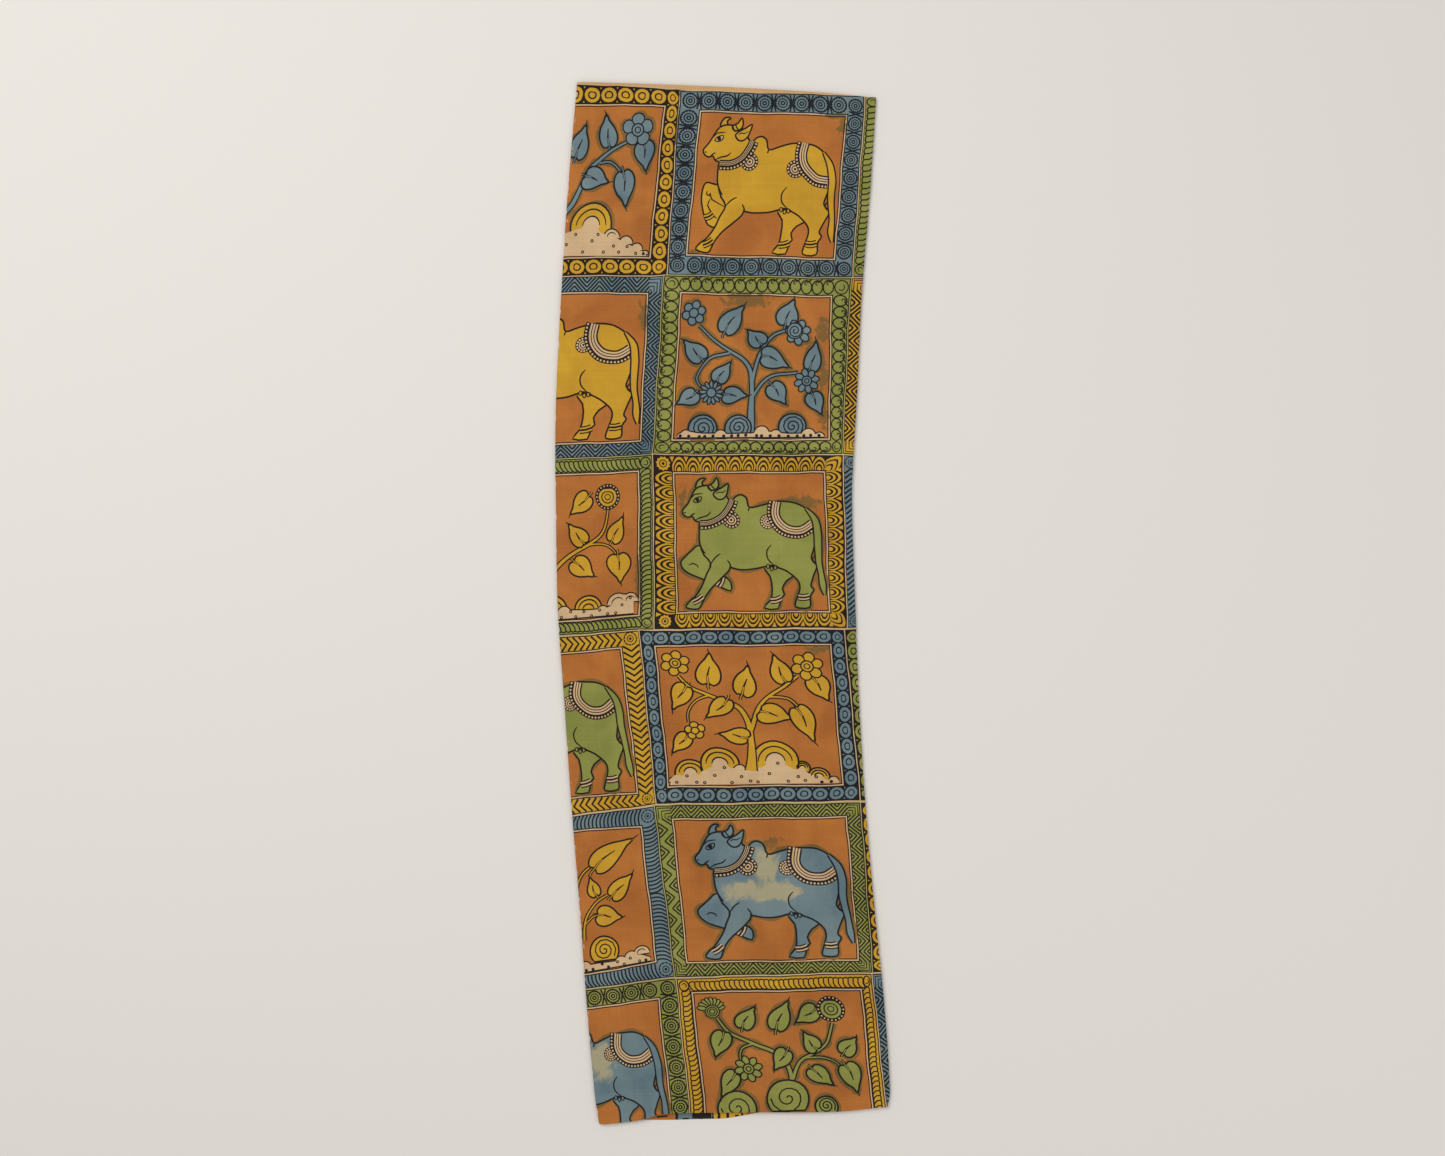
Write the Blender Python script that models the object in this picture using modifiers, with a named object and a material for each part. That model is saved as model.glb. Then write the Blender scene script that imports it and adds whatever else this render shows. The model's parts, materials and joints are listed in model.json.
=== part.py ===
"""Kalamkari panel: one printed cotton cloth, folded in three along its length and laid flat.

Run it with blender --background --python part.py, or from Blender's text editor.
Units are metres and +Z is up. The cloth rests on z = 0, with the ends of its folds towards +Y
and -Y. Its top layer runs from the left fold to the right fold. The middle layer hangs on the
right fold and the bottom layer on the left fold, so both cut ends are hidden inside.
"""

from collections import namedtuple
import math

import bmesh
import bpy

# Cloth
COLLECTION_NAME = "kalamkari_panel"
NODE_NAME = "cloth"
THICKNESS = 0.0010
LAYER_GAP = 0.0008
MIDDLE_SETBACK = 0.012
BOTTOM_SETBACK = 0.009
MIDDLE_SWELL_SHARE = 0.5

# Heights of the middle of each layer, where nothing swells
BOTTOM_HEIGHT = THICKNESS / 2
MIDDLE_HEIGHT = BOTTOM_HEIGHT + THICKNESS + LAYER_GAP
TOP_HEIGHT = MIDDLE_HEIGHT + THICKNESS + LAYER_GAP

# Mesh steps
TOP_STEPS = 14
MIDDLE_STEPS = 9
BOTTOM_STEPS = 6
LEFT_FOLD_STEPS = 8
RIGHT_FOLD_STEPS = 6
LENGTH_STEPS = 42

# Both folds seen from above: x of each fold at stations up the strip
Station = namedtuple("Station", "up left right")
OUTLINE = (
    Station(up=-0.569, left=-0.1340, right=0.1760),
    Station(up=-0.550, left=-0.1372, right=0.1797),
    Station(up=-0.531, left=-0.1396, right=0.1824),
    Station(up=-0.435, left=-0.1481, right=0.1760),
    Station(up=-0.325, left=-0.1561, right=0.1648),
    Station(up=-0.215, left=-0.1649, right=0.1553),
    Station(up=-0.110, left=-0.1722, right=0.1488),
    Station(up=0.000, left=-0.1797, right=0.1445),
    Station(up=0.110, left=-0.1815, right=0.1409),
    Station(up=0.160, left=-0.1822, right=0.1425),
    Station(up=0.225, left=-0.1812, right=0.1464),
    Station(up=0.335, left=-0.1758, right=0.1516),
    Station(up=0.450, left=-0.1684, right=0.1608),
    Station(up=0.569, left=-0.1583, right=0.1684),
)

# Corners where each fold meets the two ends of the strip
TOP_LEFT_UP = 0.5684
TOP_RIGHT_UP = 0.5509
BOTTOM_LEFT_UP = -0.5684
BOTTOM_RIGHT_UP = -0.5483

# How far each layer stops short of the straight line between the corners of an end
EndRow = namedtuple("EndRow", "across top middle bottom")
BOTTOM_END = (
    EndRow(across=0.00, top=0.0000, middle=0.0060, bottom=0.0000),
    EndRow(across=0.15, top=0.0024, middle=0.0080, bottom=0.0018),
    EndRow(across=0.22, top=0.0074, middle=0.0110, bottom=0.0002),
    EndRow(across=0.35, top=0.0062, middle=0.0100, bottom=-0.0015),
    EndRow(across=0.45, top=0.0045, middle=0.0085, bottom=-0.0024),
    EndRow(across=0.56, top=0.0026, middle=0.0070, bottom=0.0014),
    EndRow(across=0.70, top=-0.0003, middle=0.0060, bottom=0.0042),
    EndRow(across=0.85, top=-0.0022, middle=0.0030, bottom=0.0055),
    EndRow(across=1.00, top=0.0000, middle=0.0000, bottom=0.0060),
)
TOP_END = (
    EndRow(across=0.00, top=0.0000, middle=0.0040, bottom=0.0000),
    EndRow(across=0.25, top=-0.0022, middle=0.0030, bottom=0.0020),
    EndRow(across=0.55, top=-0.0033, middle=0.0030, bottom=0.0030),
    EndRow(across=0.85, top=-0.0026, middle=0.0010, bottom=0.0040),
    EndRow(across=1.00, top=0.0000, middle=0.0000, bottom=0.0050),
)
END_FADE = 0.160

# Soft swells of the top layer: centre, half sizes, direction of the long side, and rise
Swell = namedtuple("Swell", "x y half_long half_wide turn rise")
SWELLS = (
    Swell(x=-0.152, y=0.300, half_long=0.170, half_wide=0.024, turn=86, rise=0.0013),
    Swell(x=-0.140, y=-0.210, half_long=0.160, half_wide=0.026, turn=94, rise=0.0011),
    Swell(x=-0.020, y=-0.030, half_long=0.120, half_wide=0.034, turn=-5, rise=0.0010),
    Swell(x=0.120, y=0.100, half_long=0.140, half_wide=0.024, turn=88, rise=0.0014),
    Swell(x=0.148, y=-0.360, half_long=0.120, half_wide=0.026, turn=97, rise=0.0012),
    Swell(x=0.020, y=-0.505, half_long=0.100, half_wide=0.032, turn=8, rise=0.0015),
    Swell(x=0.010, y=0.500, half_long=0.110, half_wide=0.028, turn=-4, rise=0.0012),
    Swell(x=-0.060, y=0.220, half_long=0.130, half_wide=0.030, turn=58, rise=0.0008),
)

# Dyed cotton
CLOTH_COLOUR = (0.42, 0.16, 0.04, 1.0)
CLOTH_ROUGHNESS = 0.88

# One column of the cut cloth: a flat layer or a fold between two, and how far across or around
Column = namedtuple("Column", "kind layers mix")


def table_curve(table, key, column, at):
    """Read one column of a table at a key value, on a smooth curve through its rows."""
    keys = [getattr(row, key) for row in table]
    values = [getattr(row, column) for row in table]
    last = len(table) - 1
    at = min(max(at, keys[0]), keys[last])
    index = max(i for i in range(last) if keys[i] <= at or i == 0)
    span = keys[index + 1] - keys[index]
    step = (at - keys[index]) / span

    def slope(i):
        before = max(i - 1, 0)
        after = min(i + 1, last)
        return (values[after] - values[before]) / (keys[after] - keys[before])

    start_turn = slope(index) * span
    end_turn = slope(index + 1) * span
    rise = values[index + 1] - values[index]
    bend = 3 * rise - 2 * start_turn - end_turn
    twist = start_turn + end_turn - 2 * rise
    return values[index] + step * (start_turn + step * (bend + step * twist))


def swell(x, y):
    """Height of the soft swells of the top layer at a place on the strip."""
    height = 0.0
    for row in SWELLS:
        turn = math.radians(row.turn)
        along = (x - row.x) * math.cos(turn) + (y - row.y) * math.sin(turn)
        aside = (y - row.y) * math.cos(turn) - (x - row.x) * math.sin(turn)
        distance = (along / row.half_long) ** 2 + (aside / row.half_wide) ** 2
        height += row.rise * math.exp(-distance)
    return height


def layer_height(layer, x, y):
    """Height of the middle of one layer of cloth."""
    if layer == "top":
        return TOP_HEIGHT + swell(x, y)
    if layer == "middle":
        return MIDDLE_HEIGHT + MIDDLE_SWELL_SHARE * swell(x, y)
    return BOTTOM_HEIGHT


def strip_point(across, share, layers, layer_mix):
    """Place on the strip seen from above, for a share of its length and of its width."""
    left_up = BOTTOM_LEFT_UP + share * (TOP_LEFT_UP - BOTTOM_LEFT_UP)
    right_up = BOTTOM_RIGHT_UP + share * (TOP_RIGHT_UP - BOTTOM_RIGHT_UP)
    y = left_up + across * (right_up - left_up)
    length = TOP_LEFT_UP - BOTTOM_LEFT_UP
    for end, sign, distance in (
        (BOTTOM_END, 1, share * length),
        (TOP_END, -1, (1 - share) * length),
    ):
        near = max(0.0, 1 - distance / END_FADE) ** 2
        shorts = [table_curve(end, "across", layer, across) for layer in layers]
        y += sign * near * (shorts[0] + layer_mix * (shorts[1] - shorts[0]))
    left = table_curve(OUTLINE, "up", "left", y)
    right = table_curve(OUTLINE, "up", "right", y)
    return left + across * (right - left), y


def cut_columns():
    """All columns of the cut cloth, from the middle layer's cut end to the bottom layer's."""
    middle = [Column("flat", ("middle", "middle"), i / MIDDLE_STEPS) for i in range(MIDDLE_STEPS + 1)]
    right = [Column("right", ("middle", "top"), i / RIGHT_FOLD_STEPS) for i in range(1, RIGHT_FOLD_STEPS)]
    top = [Column("flat", ("top", "top"), 1 - i / TOP_STEPS) for i in range(TOP_STEPS + 1)]
    left = [Column("left", ("top", "bottom"), i / LEFT_FOLD_STEPS) for i in range(1, LEFT_FOLD_STEPS)]
    bottom = [Column("flat", ("bottom", "bottom"), i / BOTTOM_STEPS) for i in range(BOTTOM_STEPS + 1)]
    return middle + right + top + left + bottom


def fold_radius(side, share):
    """Radius of the middle of the cloth around a fold, half the distance of its two layers."""
    across = 0.0 if side == "left" else 1.0
    under = "bottom" if side == "left" else "middle"
    x, y = strip_point(across, share, ("top", "top"), 0.0)
    return (layer_height("top", x, y) - layer_height(under, x, y)) / 2


def side_insets(layer, share):
    """How far the flat part of a layer stays inside the left and the right outline."""
    if layer == "middle":
        return MIDDLE_SETBACK, fold_radius("right", share)
    if layer == "bottom":
        return fold_radius("left", share), BOTTOM_SETBACK
    return fold_radius("left", share), fold_radius("right", share)


def flat_point(layer, across, share):
    """Place on a flat layer."""
    left_inset, right_inset = side_insets(layer, share)
    x, y = strip_point(across, share, (layer, layer), 0.0)
    x += left_inset * (1 - across) - right_inset * across
    return x, y, layer_height(layer, x, y)


def right_fold_point(layers, mix, share):
    """Place on the right fold, which rises from the middle layer to the top one."""
    radius = fold_radius("right", share)
    x, y = strip_point(1.0, share, layers, mix)
    angle = math.pi * (mix - 0.5)
    z = layer_height("middle", x, y) + radius + radius * math.sin(angle)
    return x - radius + radius * math.cos(angle), y, z


def left_fold_point(layers, mix, share):
    """Place on the left fold, which falls from the top layer to the bottom one."""
    radius = fold_radius("left", share)
    x, y = strip_point(0.0, share, layers, mix)
    angle = math.pi * (0.5 - mix)
    z = BOTTOM_HEIGHT + radius + radius * math.sin(angle)
    return x + radius - radius * math.cos(angle), y, z


def cloth_point(column, share):
    """Place of the middle of the cloth for one column, at a share of the strip's length."""
    if column.kind == "right":
        return right_fold_point(column.layers, column.mix, share)
    if column.kind == "left":
        return left_fold_point(column.layers, column.mix, share)
    return flat_point(column.layers[0], column.mix, share)


def cloth_material():
    """Plain dyed cotton."""
    material = bpy.data.materials.new("dyed_cotton")
    material.use_nodes = True
    shader = material.node_tree.nodes["Principled BSDF"]
    shader.inputs["Base Color"].default_value = CLOTH_COLOUR
    shader.inputs["Roughness"].default_value = CLOTH_ROUGHNESS
    shader.inputs["Metallic"].default_value = 0.0
    return material


def fold_cloth(collection):
    """The cut cloth as a flat grid, laid in its three layers and given its thickness."""
    columns = cut_columns()
    bm = bmesh.new()
    bmesh.ops.create_grid(bm, x_segments=len(columns) - 1, y_segments=LENGTH_STEPS, size=1.0)
    for vert in bm.verts:
        index = round((vert.co.x + 1) / 2 * (len(columns) - 1))
        vert.co = cloth_point(columns[index], (vert.co.y + 1) / 2)
    bmesh.ops.recalc_face_normals(bm, faces=bm.faces)
    mesh = bpy.data.meshes.new(NODE_NAME)
    bm.to_mesh(mesh)
    bm.free()
    mesh.shade_smooth()
    mesh.materials.append(cloth_material())
    cloth = bpy.data.objects.new(NODE_NAME, mesh)
    collection.objects.link(cloth)
    shell = cloth.modifiers.new("thickness", "SOLIDIFY")
    shell.thickness = THICKNESS
    shell.offset = 0.0
    shell.use_even_offset = True
    return cloth


def main():
    for old in list(bpy.data.objects):
        bpy.data.objects.remove(old)
    collection = bpy.data.collections.new(COLLECTION_NAME)
    bpy.context.scene.collection.children.link(collection)
    fold_cloth(collection)


main()
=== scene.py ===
import json
import math
import random
from collections import namedtuple

import bpy
import numpy as np
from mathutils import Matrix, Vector
from mathutils.geometry import delaunay_2d_cdt
from mathutils.kdtree import KDTree

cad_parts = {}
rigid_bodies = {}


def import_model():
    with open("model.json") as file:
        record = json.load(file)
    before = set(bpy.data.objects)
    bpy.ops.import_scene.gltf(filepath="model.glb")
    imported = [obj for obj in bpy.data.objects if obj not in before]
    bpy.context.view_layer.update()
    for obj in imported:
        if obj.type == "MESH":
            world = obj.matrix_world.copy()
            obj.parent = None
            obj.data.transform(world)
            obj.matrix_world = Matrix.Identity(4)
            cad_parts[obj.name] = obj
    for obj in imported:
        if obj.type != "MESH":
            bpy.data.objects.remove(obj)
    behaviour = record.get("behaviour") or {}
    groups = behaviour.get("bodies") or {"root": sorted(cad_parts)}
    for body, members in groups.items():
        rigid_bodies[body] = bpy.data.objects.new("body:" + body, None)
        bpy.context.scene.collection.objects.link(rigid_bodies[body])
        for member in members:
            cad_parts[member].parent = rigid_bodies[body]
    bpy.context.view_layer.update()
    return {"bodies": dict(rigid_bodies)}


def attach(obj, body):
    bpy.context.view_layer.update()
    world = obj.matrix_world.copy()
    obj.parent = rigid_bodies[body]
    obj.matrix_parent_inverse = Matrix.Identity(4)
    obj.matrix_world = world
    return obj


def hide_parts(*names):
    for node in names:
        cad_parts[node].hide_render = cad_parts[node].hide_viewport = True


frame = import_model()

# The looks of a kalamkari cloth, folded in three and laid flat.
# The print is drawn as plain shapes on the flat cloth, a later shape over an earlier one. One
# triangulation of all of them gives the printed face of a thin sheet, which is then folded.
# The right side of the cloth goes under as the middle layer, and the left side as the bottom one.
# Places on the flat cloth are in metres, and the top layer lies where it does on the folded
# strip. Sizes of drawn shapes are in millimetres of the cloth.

MM = 0.001


def rows(kind, table):
    """The rows of a table, with their columns named."""
    return tuple(kind(*row) for row in table)


# Cloth

SHEET_THICKNESS = 0.0005
BOTTOM_HEIGHT = SHEET_THICKNESS / 2
MIDDLE_HEIGHT = 0.0022
TOP_HEIGHT = 0.0042
MIDDLE_SETBACK = 0.012
BOTTOM_SETBACK = 0.009
MIDDLE_SWELL_SHARE = 0.5
FLATTEN_WITHIN = 0.02
CLEAR_OF_FOLD = 0.001
CLEAR_OF_CUT = 0.002
END_STEPS = 41
SIDE_STEPS = 61

# Both folds seen from above, the same as the solid's
Station = namedtuple("Station", "up left right")
OUTLINE = rows(Station, (
    (-0.569, -0.1340, 0.1760), (-0.550, -0.1372, 0.1797), (-0.531, -0.1396, 0.1824),
    (-0.435, -0.1481, 0.1760), (-0.325, -0.1561, 0.1648), (-0.215, -0.1649, 0.1553),
    (-0.110, -0.1722, 0.1488), (0.000, -0.1797, 0.1445), (0.110, -0.1815, 0.1409),
    (0.160, -0.1822, 0.1425), (0.225, -0.1812, 0.1464), (0.335, -0.1758, 0.1516),
    (0.450, -0.1684, 0.1608), (0.569, -0.1583, 0.1684),
))
TOP_LEFT_UP = 0.5684
TOP_RIGHT_UP = 0.5509
BOTTOM_LEFT_UP = -0.5684
BOTTOM_RIGHT_UP = -0.5483

# How far each layer stops short of the straight line between the corners of an end
EndRow = namedtuple("EndRow", "across top middle bottom")
BOTTOM_END = rows(EndRow, (
    (0.00, 0.0000, 0.0060, 0.0000), (0.15, 0.0024, 0.0080, 0.0018), (0.22, 0.0074, 0.0110, 0.0002),
    (0.35, 0.0062, 0.0100, -0.0015), (0.45, 0.0045, 0.0085, -0.0024), (0.56, 0.0026, 0.0070, 0.0014),
    (0.70, -0.0003, 0.0060, 0.0042), (0.85, -0.0022, 0.0030, 0.0055), (1.00, 0.0000, 0.0000, 0.0060),
))
TOP_END = rows(EndRow, (
    (0.00, 0.0000, 0.0040, 0.0000), (0.25, -0.0022, 0.0030, 0.0020), (0.55, -0.0033, 0.0030, 0.0030),
    (0.85, -0.0026, 0.0010, 0.0040), (1.00, 0.0000, 0.0000, 0.0050),
))

# Soft swells of the top layer, the same as the solid's
Swell = namedtuple("Swell", "x y half_long half_wide turn rise")
SWELLS = rows(Swell, (
    (-0.152, 0.300, 0.170, 0.024, 86, 0.0013), (-0.140, -0.210, 0.160, 0.026, 94, 0.0011),
    (-0.020, -0.030, 0.120, 0.034, -5, 0.0010), (0.120, 0.100, 0.140, 0.024, 88, 0.0014),
    (0.148, -0.360, 0.120, 0.026, 97, 0.0012), (0.020, -0.505, 0.100, 0.032, 8, 0.0015),
    (0.010, 0.500, 0.110, 0.028, -4, 0.0012), (-0.060, 0.220, 0.130, 0.030, 58, 0.0008),
))

# Finer creases that only the thin sheet has
CREASES = rows(Swell, (
    (-0.165, 0.150, 0.070, 0.005, 80, 0.0004), (-0.120, -0.030, 0.055, 0.006, -3, 0.0005),
    (0.060, -0.222, 0.080, 0.006, 4, -0.0003), (0.090, 0.355, 0.060, 0.006, -6, 0.0004),
    (-0.085, -0.450, 0.060, 0.006, 70, 0.0004), (0.150, -0.505, 0.040, 0.005, 35, 0.0005),
    (-0.020, 0.150, 0.090, 0.007, 18, -0.0003), (0.010, -0.330, 0.100, 0.008, -35, 0.0003),
))


# The folded form

def table_curve(table, key, column, at):
    """One column of a table at key values, on a smooth curve through its rows."""
    keys = np.array([getattr(row, key) for row in table])
    values = np.array([getattr(row, column) for row in table])
    last = len(table) - 1
    before = np.maximum(np.arange(last + 1) - 1, 0)
    after = np.minimum(np.arange(last + 1) + 1, last)
    slopes = (values[after] - values[before]) / (keys[after] - keys[before])
    at = np.clip(at, keys[0], keys[last])
    index = np.clip(np.searchsorted(keys, at, side="right") - 1, 0, last - 1)
    span = keys[index + 1] - keys[index]
    step = (at - keys[index]) / span
    start_turn = slopes[index] * span
    end_turn = slopes[index + 1] * span
    rise = values[index + 1] - values[index]
    bend = 3 * rise - 2 * start_turn - end_turn
    twist = start_turn + end_turn - 2 * rise
    return values[index] + step * (start_turn + step * (bend + step * twist))


def mounds_height(table, x, y):
    """Summed height of the soft ridges in a table."""
    height = np.zeros_like(x)
    for row in table:
        turn = math.radians(row.turn)
        along = (x - row.x) * math.cos(turn) + (y - row.y) * math.sin(turn)
        aside = (y - row.y) * math.cos(turn) - (x - row.x) * math.sin(turn)
        fall = (along / row.half_long) ** 2
        height += row.rise * np.exp(-fall - (aside / row.half_wide) ** 2)
    return height


def top_height(x, y):
    """Height of the middle of the top layer."""
    return TOP_HEIGHT + mounds_height(SWELLS, x, y) + mounds_height(CREASES, x, y)


def middle_height(x, y):
    """Height of the middle of the layer between the others."""
    return MIDDLE_HEIGHT + MIDDLE_SWELL_SHARE * mounds_height(SWELLS, x, y)


def fold_lines(y):
    """Where the folds start and their radii: left line, left radius, right line, right radius."""
    left = table_curve(OUTLINE, "up", "left", y)
    right = table_curve(OUTLINE, "up", "right", y)
    left_radius = (top_height(left, y) - BOTTOM_HEIGHT) / 2
    right_radius = (top_height(right, y) - middle_height(right, y)) / 2
    return left + left_radius, left_radius, right - right_radius, right_radius


def fold(flat):
    """Places of the middle of the cloth for places on the flat cloth."""
    x, y = flat[:, 0], flat[:, 1]
    left_line, left_radius, right_line, right_radius = fold_lines(y)
    on_top = np.clip(x, left_line, right_line)
    placed = np.stack([on_top, y, top_height(on_top, y)], axis=1)
    for sign, line, radius in ((1, right_line, right_radius), (-1, left_line, left_radius)):
        past = sign * (x - line)
        turn = np.clip(past / radius, 0, math.pi)
        under = np.maximum(past - math.pi * radius, 0)
        beyond = past > 0
        placed_x = line + sign * (radius * np.sin(turn) - under)
        placed_z = placed[:, 2] - radius * (1 - np.cos(turn))
        if sign > 0:
            flat_z = middle_height(placed_x, y)
            blend = np.clip(under / FLATTEN_WITHIN, 0, 1)
            placed_z = np.where(under > 0, placed_z + blend * (flat_z - placed_z), placed_z)
        placed[:, 0] = np.where(beyond, placed_x, placed[:, 0])
        placed[:, 2] = np.where(beyond, placed_z, placed[:, 2])
    return placed


def fold_normals(flat):
    """Directions that the printed face looks in, once folded."""
    reach = 0.0002
    step_x = np.array([reach, 0.0])
    step_y = np.array([0.0, reach])
    along_x = fold(flat + step_x) - fold(flat - step_x)
    along_y = fold(flat + step_y) - fold(flat - step_y)
    normals = np.cross(along_x, along_y)
    return normals / np.linalg.norm(normals, axis=1, keepdims=True)


def end_places(end, layer, across):
    """Places along one end of a layer, seen from above."""
    across = np.asarray(across, float)
    left_up = TOP_LEFT_UP if end is TOP_END else BOTTOM_LEFT_UP
    right_up = TOP_RIGHT_UP if end is TOP_END else BOTTOM_RIGHT_UP
    sign = -1 if end is TOP_END else 1
    y = left_up + across * (right_up - left_up) + sign * table_curve(end, "across", layer, across)
    left = table_curve(OUTLINE, "up", "left", y)
    right = table_curve(OUTLINE, "up", "right", y)
    return left + across * (right - left), y


def under_right(x, y):
    """Flat place of what lies at x on the middle layer."""
    _, _, line, radius = fold_lines(y)
    return line + math.pi * radius + (line - x)


def under_left(x, y):
    """Flat place of what lies at x on the bottom layer."""
    line, radius, _, _ = fold_lines(y)
    return line - math.pi * radius - (x - line)


def end_line(end):
    """One whole end of the flat cloth, from the bottom layer's cut end to the middle layer's."""
    steps = np.linspace(0, 1, END_STEPS)
    x, y = end_places(end, "bottom", steps[::-1])
    right = table_curve(OUTLINE, "up", "right", y)
    left_line = fold_lines(y)[0]
    inside = (x < right - BOTTOM_SETBACK - CLEAR_OF_CUT) & (x > left_line + CLEAR_OF_FOLD)
    bottom = np.stack([under_left(x[inside], y[inside]), y[inside]], axis=1)
    cut_x, cut_y = right[:1] - BOTTOM_SETBACK, y[:1]
    bottom = np.vstack([np.stack([under_left(cut_x, cut_y), cut_y], axis=1), bottom])
    x, y = end_places(end, "top", steps)
    left_line, _, right_line, _ = fold_lines(y)
    inside = (x > left_line + CLEAR_OF_FOLD) & (x < right_line - CLEAR_OF_FOLD)
    top = np.stack([x[inside], y[inside]], axis=1)
    x, y = end_places(end, "middle", steps[::-1])
    left = table_curve(OUTLINE, "up", "left", y)
    right_line = fold_lines(y)[2]
    inside = (x > left + MIDDLE_SETBACK + CLEAR_OF_CUT) & (x < right_line - CLEAR_OF_FOLD)
    middle = np.stack([under_right(x[inside], y[inside]), y[inside]], axis=1)
    cut_x, cut_y = left[-1:] + MIDDLE_SETBACK, y[-1:]
    middle = np.vstack([middle, np.stack([under_right(cut_x, cut_y), cut_y], axis=1)])
    return np.vstack([bottom, top, middle])


def cloth_outline():
    """Outline of the flat cloth, counter-clockwise."""
    low, high = end_line(BOTTOM_END), end_line(TOP_END)
    y = np.linspace(0, 1, SIDE_STEPS)[1:-1]
    right_y = low[-1, 1] + y * (high[-1, 1] - low[-1, 1])
    left = table_curve(OUTLINE, "up", "left", right_y)
    right_side = np.stack([under_right(left + MIDDLE_SETBACK, right_y), right_y], axis=1)
    left_y = high[0, 1] + y * (low[0, 1] - high[0, 1])
    right = table_curve(OUTLINE, "up", "right", left_y)
    left_side = np.stack([under_left(right - BOTTOM_SETBACK, left_y), left_y], axis=1)
    return np.vstack([low, right_side, high[::-1], left_side])


# Paints: two tones each, which the material mixes, as seen in daylight

Paint = namedtuple("Paint", "light deep")
PAINTS = {
    "cotton": Paint(light=(193, 155, 110), deep=(184, 145, 99)),
    "cream": Paint(light=(200, 170, 131), deep=(187, 155, 116)),
    "orange": Paint(light=(174, 107, 47), deep=(156, 92, 40)),
    "yellow": Paint(light=(193, 149, 42), deep=(178, 133, 36)),
    "blue": Paint(light=(110, 127, 130), deep=(88, 109, 117)),
    "green": Paint(light=(139, 140, 69), deep=(121, 125, 58)),
    "ink": Paint(light=(34, 26, 21), deep=(23, 17, 14)),
    "blue_ink": Paint(light=(27, 29, 34), deep=(18, 20, 25)),
    "pale_green": Paint(light=(168, 158, 102), deep=(150, 142, 86)),
    "olive": Paint(light=(132, 95, 44), deep=(98, 79, 42)),
}
PAINT_NAMES = tuple(PAINTS)

# Marks of the dyeing: blots where blue or green ran over its neighbours, and bare patches in blue
Spot = namedtuple("Spot", "x y across up")
BLOTS = rows(Spot, (
    (0.123, 0.532, 0.009, 0.002), (0.131, 0.521, 0.003, 0.009), (-0.032, 0.383, 0.004, 0.003),
    (0.115, 0.377, 0.004, 0.002), (-0.048, 0.553, 0.006, 0.005), (0.027, 0.331, 0.018, 0.005),
    (-0.087, 0.314, 0.003, 0.012), (0.109, 0.298, 0.005, 0.010), (0.110, 0.247, 0.004, 0.010),
    (0.110, 0.203, 0.004, 0.008), (-0.043, 0.112, 0.003, 0.012), (0.087, 0.110, 0.013, 0.005),
    (0.050, -0.262, 0.011, 0.004), (0.135, -0.322, 0.004, 0.014), (0.105, -0.050, 0.010, 0.003),
    (-0.049, 0.513, 0.003, 0.015), (-0.092, 0.026, 0.002, 0.019),
))
BARE_PATCHES = rows(Spot, (
    (0.046, -0.287, 0.011, 0.014), (0.026, -0.314, 0.015, 0.008), (0.056, -0.315, 0.018, 0.007),
    (-0.133, -0.498, 0.011, 0.013), (-0.190, -0.505, 0.022, 0.012),
))


# Drawing on the flat cloth

HIDDEN_PAST_FOLD = 0.016
RIGHT_PART = 0.1
HALO = 2.7
THINNEST_HALO_LINE = 4
SMALLEST_HALO_AREA = 60


def signed_area(points):
    x, y = points[:, 0], points[:, 1]
    return 0.5 * float(np.sum(x * np.roll(y, -1) - np.roll(x, -1) * y))


class Canvas:
    """Painted shapes on the flat cloth. Those wholly hidden past the right fold are left out."""

    def __init__(self):
        self.points = []
        self.count = 0
        self.faces = []
        self.paints = []

    def fill(self, outline, paint):
        low = outline.min(axis=0)
        if low[0] > RIGHT_PART and low[0] > fold_lines(low[1:])[2][0] + HIDDEN_PAST_FOLD:
            return
        first = self.count
        self.points.append(outline)
        self.count += len(outline)
        self.faces.append(list(range(first, first + len(outline))))
        self.paints.append(PAINT_NAMES.index(paint))


def smooth(points, steps=4, closed=False):
    """A smooth curve through a few points."""
    points = np.asarray(points, float)
    count = len(points)
    if closed:
        ring = points[np.arange(-1, count + 2) % count]
    else:
        ring = np.vstack([points[:1], points, points[-1:]])
    share = (np.arange(steps) / steps)[:, None]
    out = []
    for i in range(len(ring) - 3):
        a, b, c, d = ring[i : i + 4]
        out.append(
            b
            + 0.5 * share * (c - a)
            + share**2 * (a - 2.5 * b + 2 * c - 0.5 * d)
            + share**3 * (1.5 * (b - c) + 0.5 * (d - a))
        )
    if not closed:
        out.append(points[-1:])
    return np.vstack(out)


def normals_of(path, closed=False):
    if closed:
        tangents = np.roll(path, -1, axis=0) - np.roll(path, 1, axis=0)
    else:
        tangents = np.gradient(path, axis=0)
    tangents = tangents / np.maximum(np.linalg.norm(tangents, axis=1, keepdims=True), 1e-9)
    return np.stack([-tangents[:, 1], tangents[:, 0]], axis=1)


def ellipse(x, y, across, up=None, turn=0.0, points=12, start=0.0, end=360.0):
    """Points of an ellipse, or of an arc of it, in millimetres and degrees."""
    up = across if up is None else up
    whole = end - start >= 360
    angles = np.radians(np.linspace(start, end, points, endpoint=not whole))
    return moved(np.stack([across * np.cos(angles), up * np.sin(angles)], axis=1), x, y, turn)


def moved(shape, x, y, turn):
    """A shape turned and then moved."""
    shape = np.asarray(shape, float)
    turn = math.radians(turn)
    turned_x = shape[:, 0] * math.cos(turn) - shape[:, 1] * math.sin(turn)
    turned_y = shape[:, 0] * math.sin(turn) + shape[:, 1] * math.cos(turn)
    return np.stack([turned_x + x, turned_y + y], axis=1)


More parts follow.
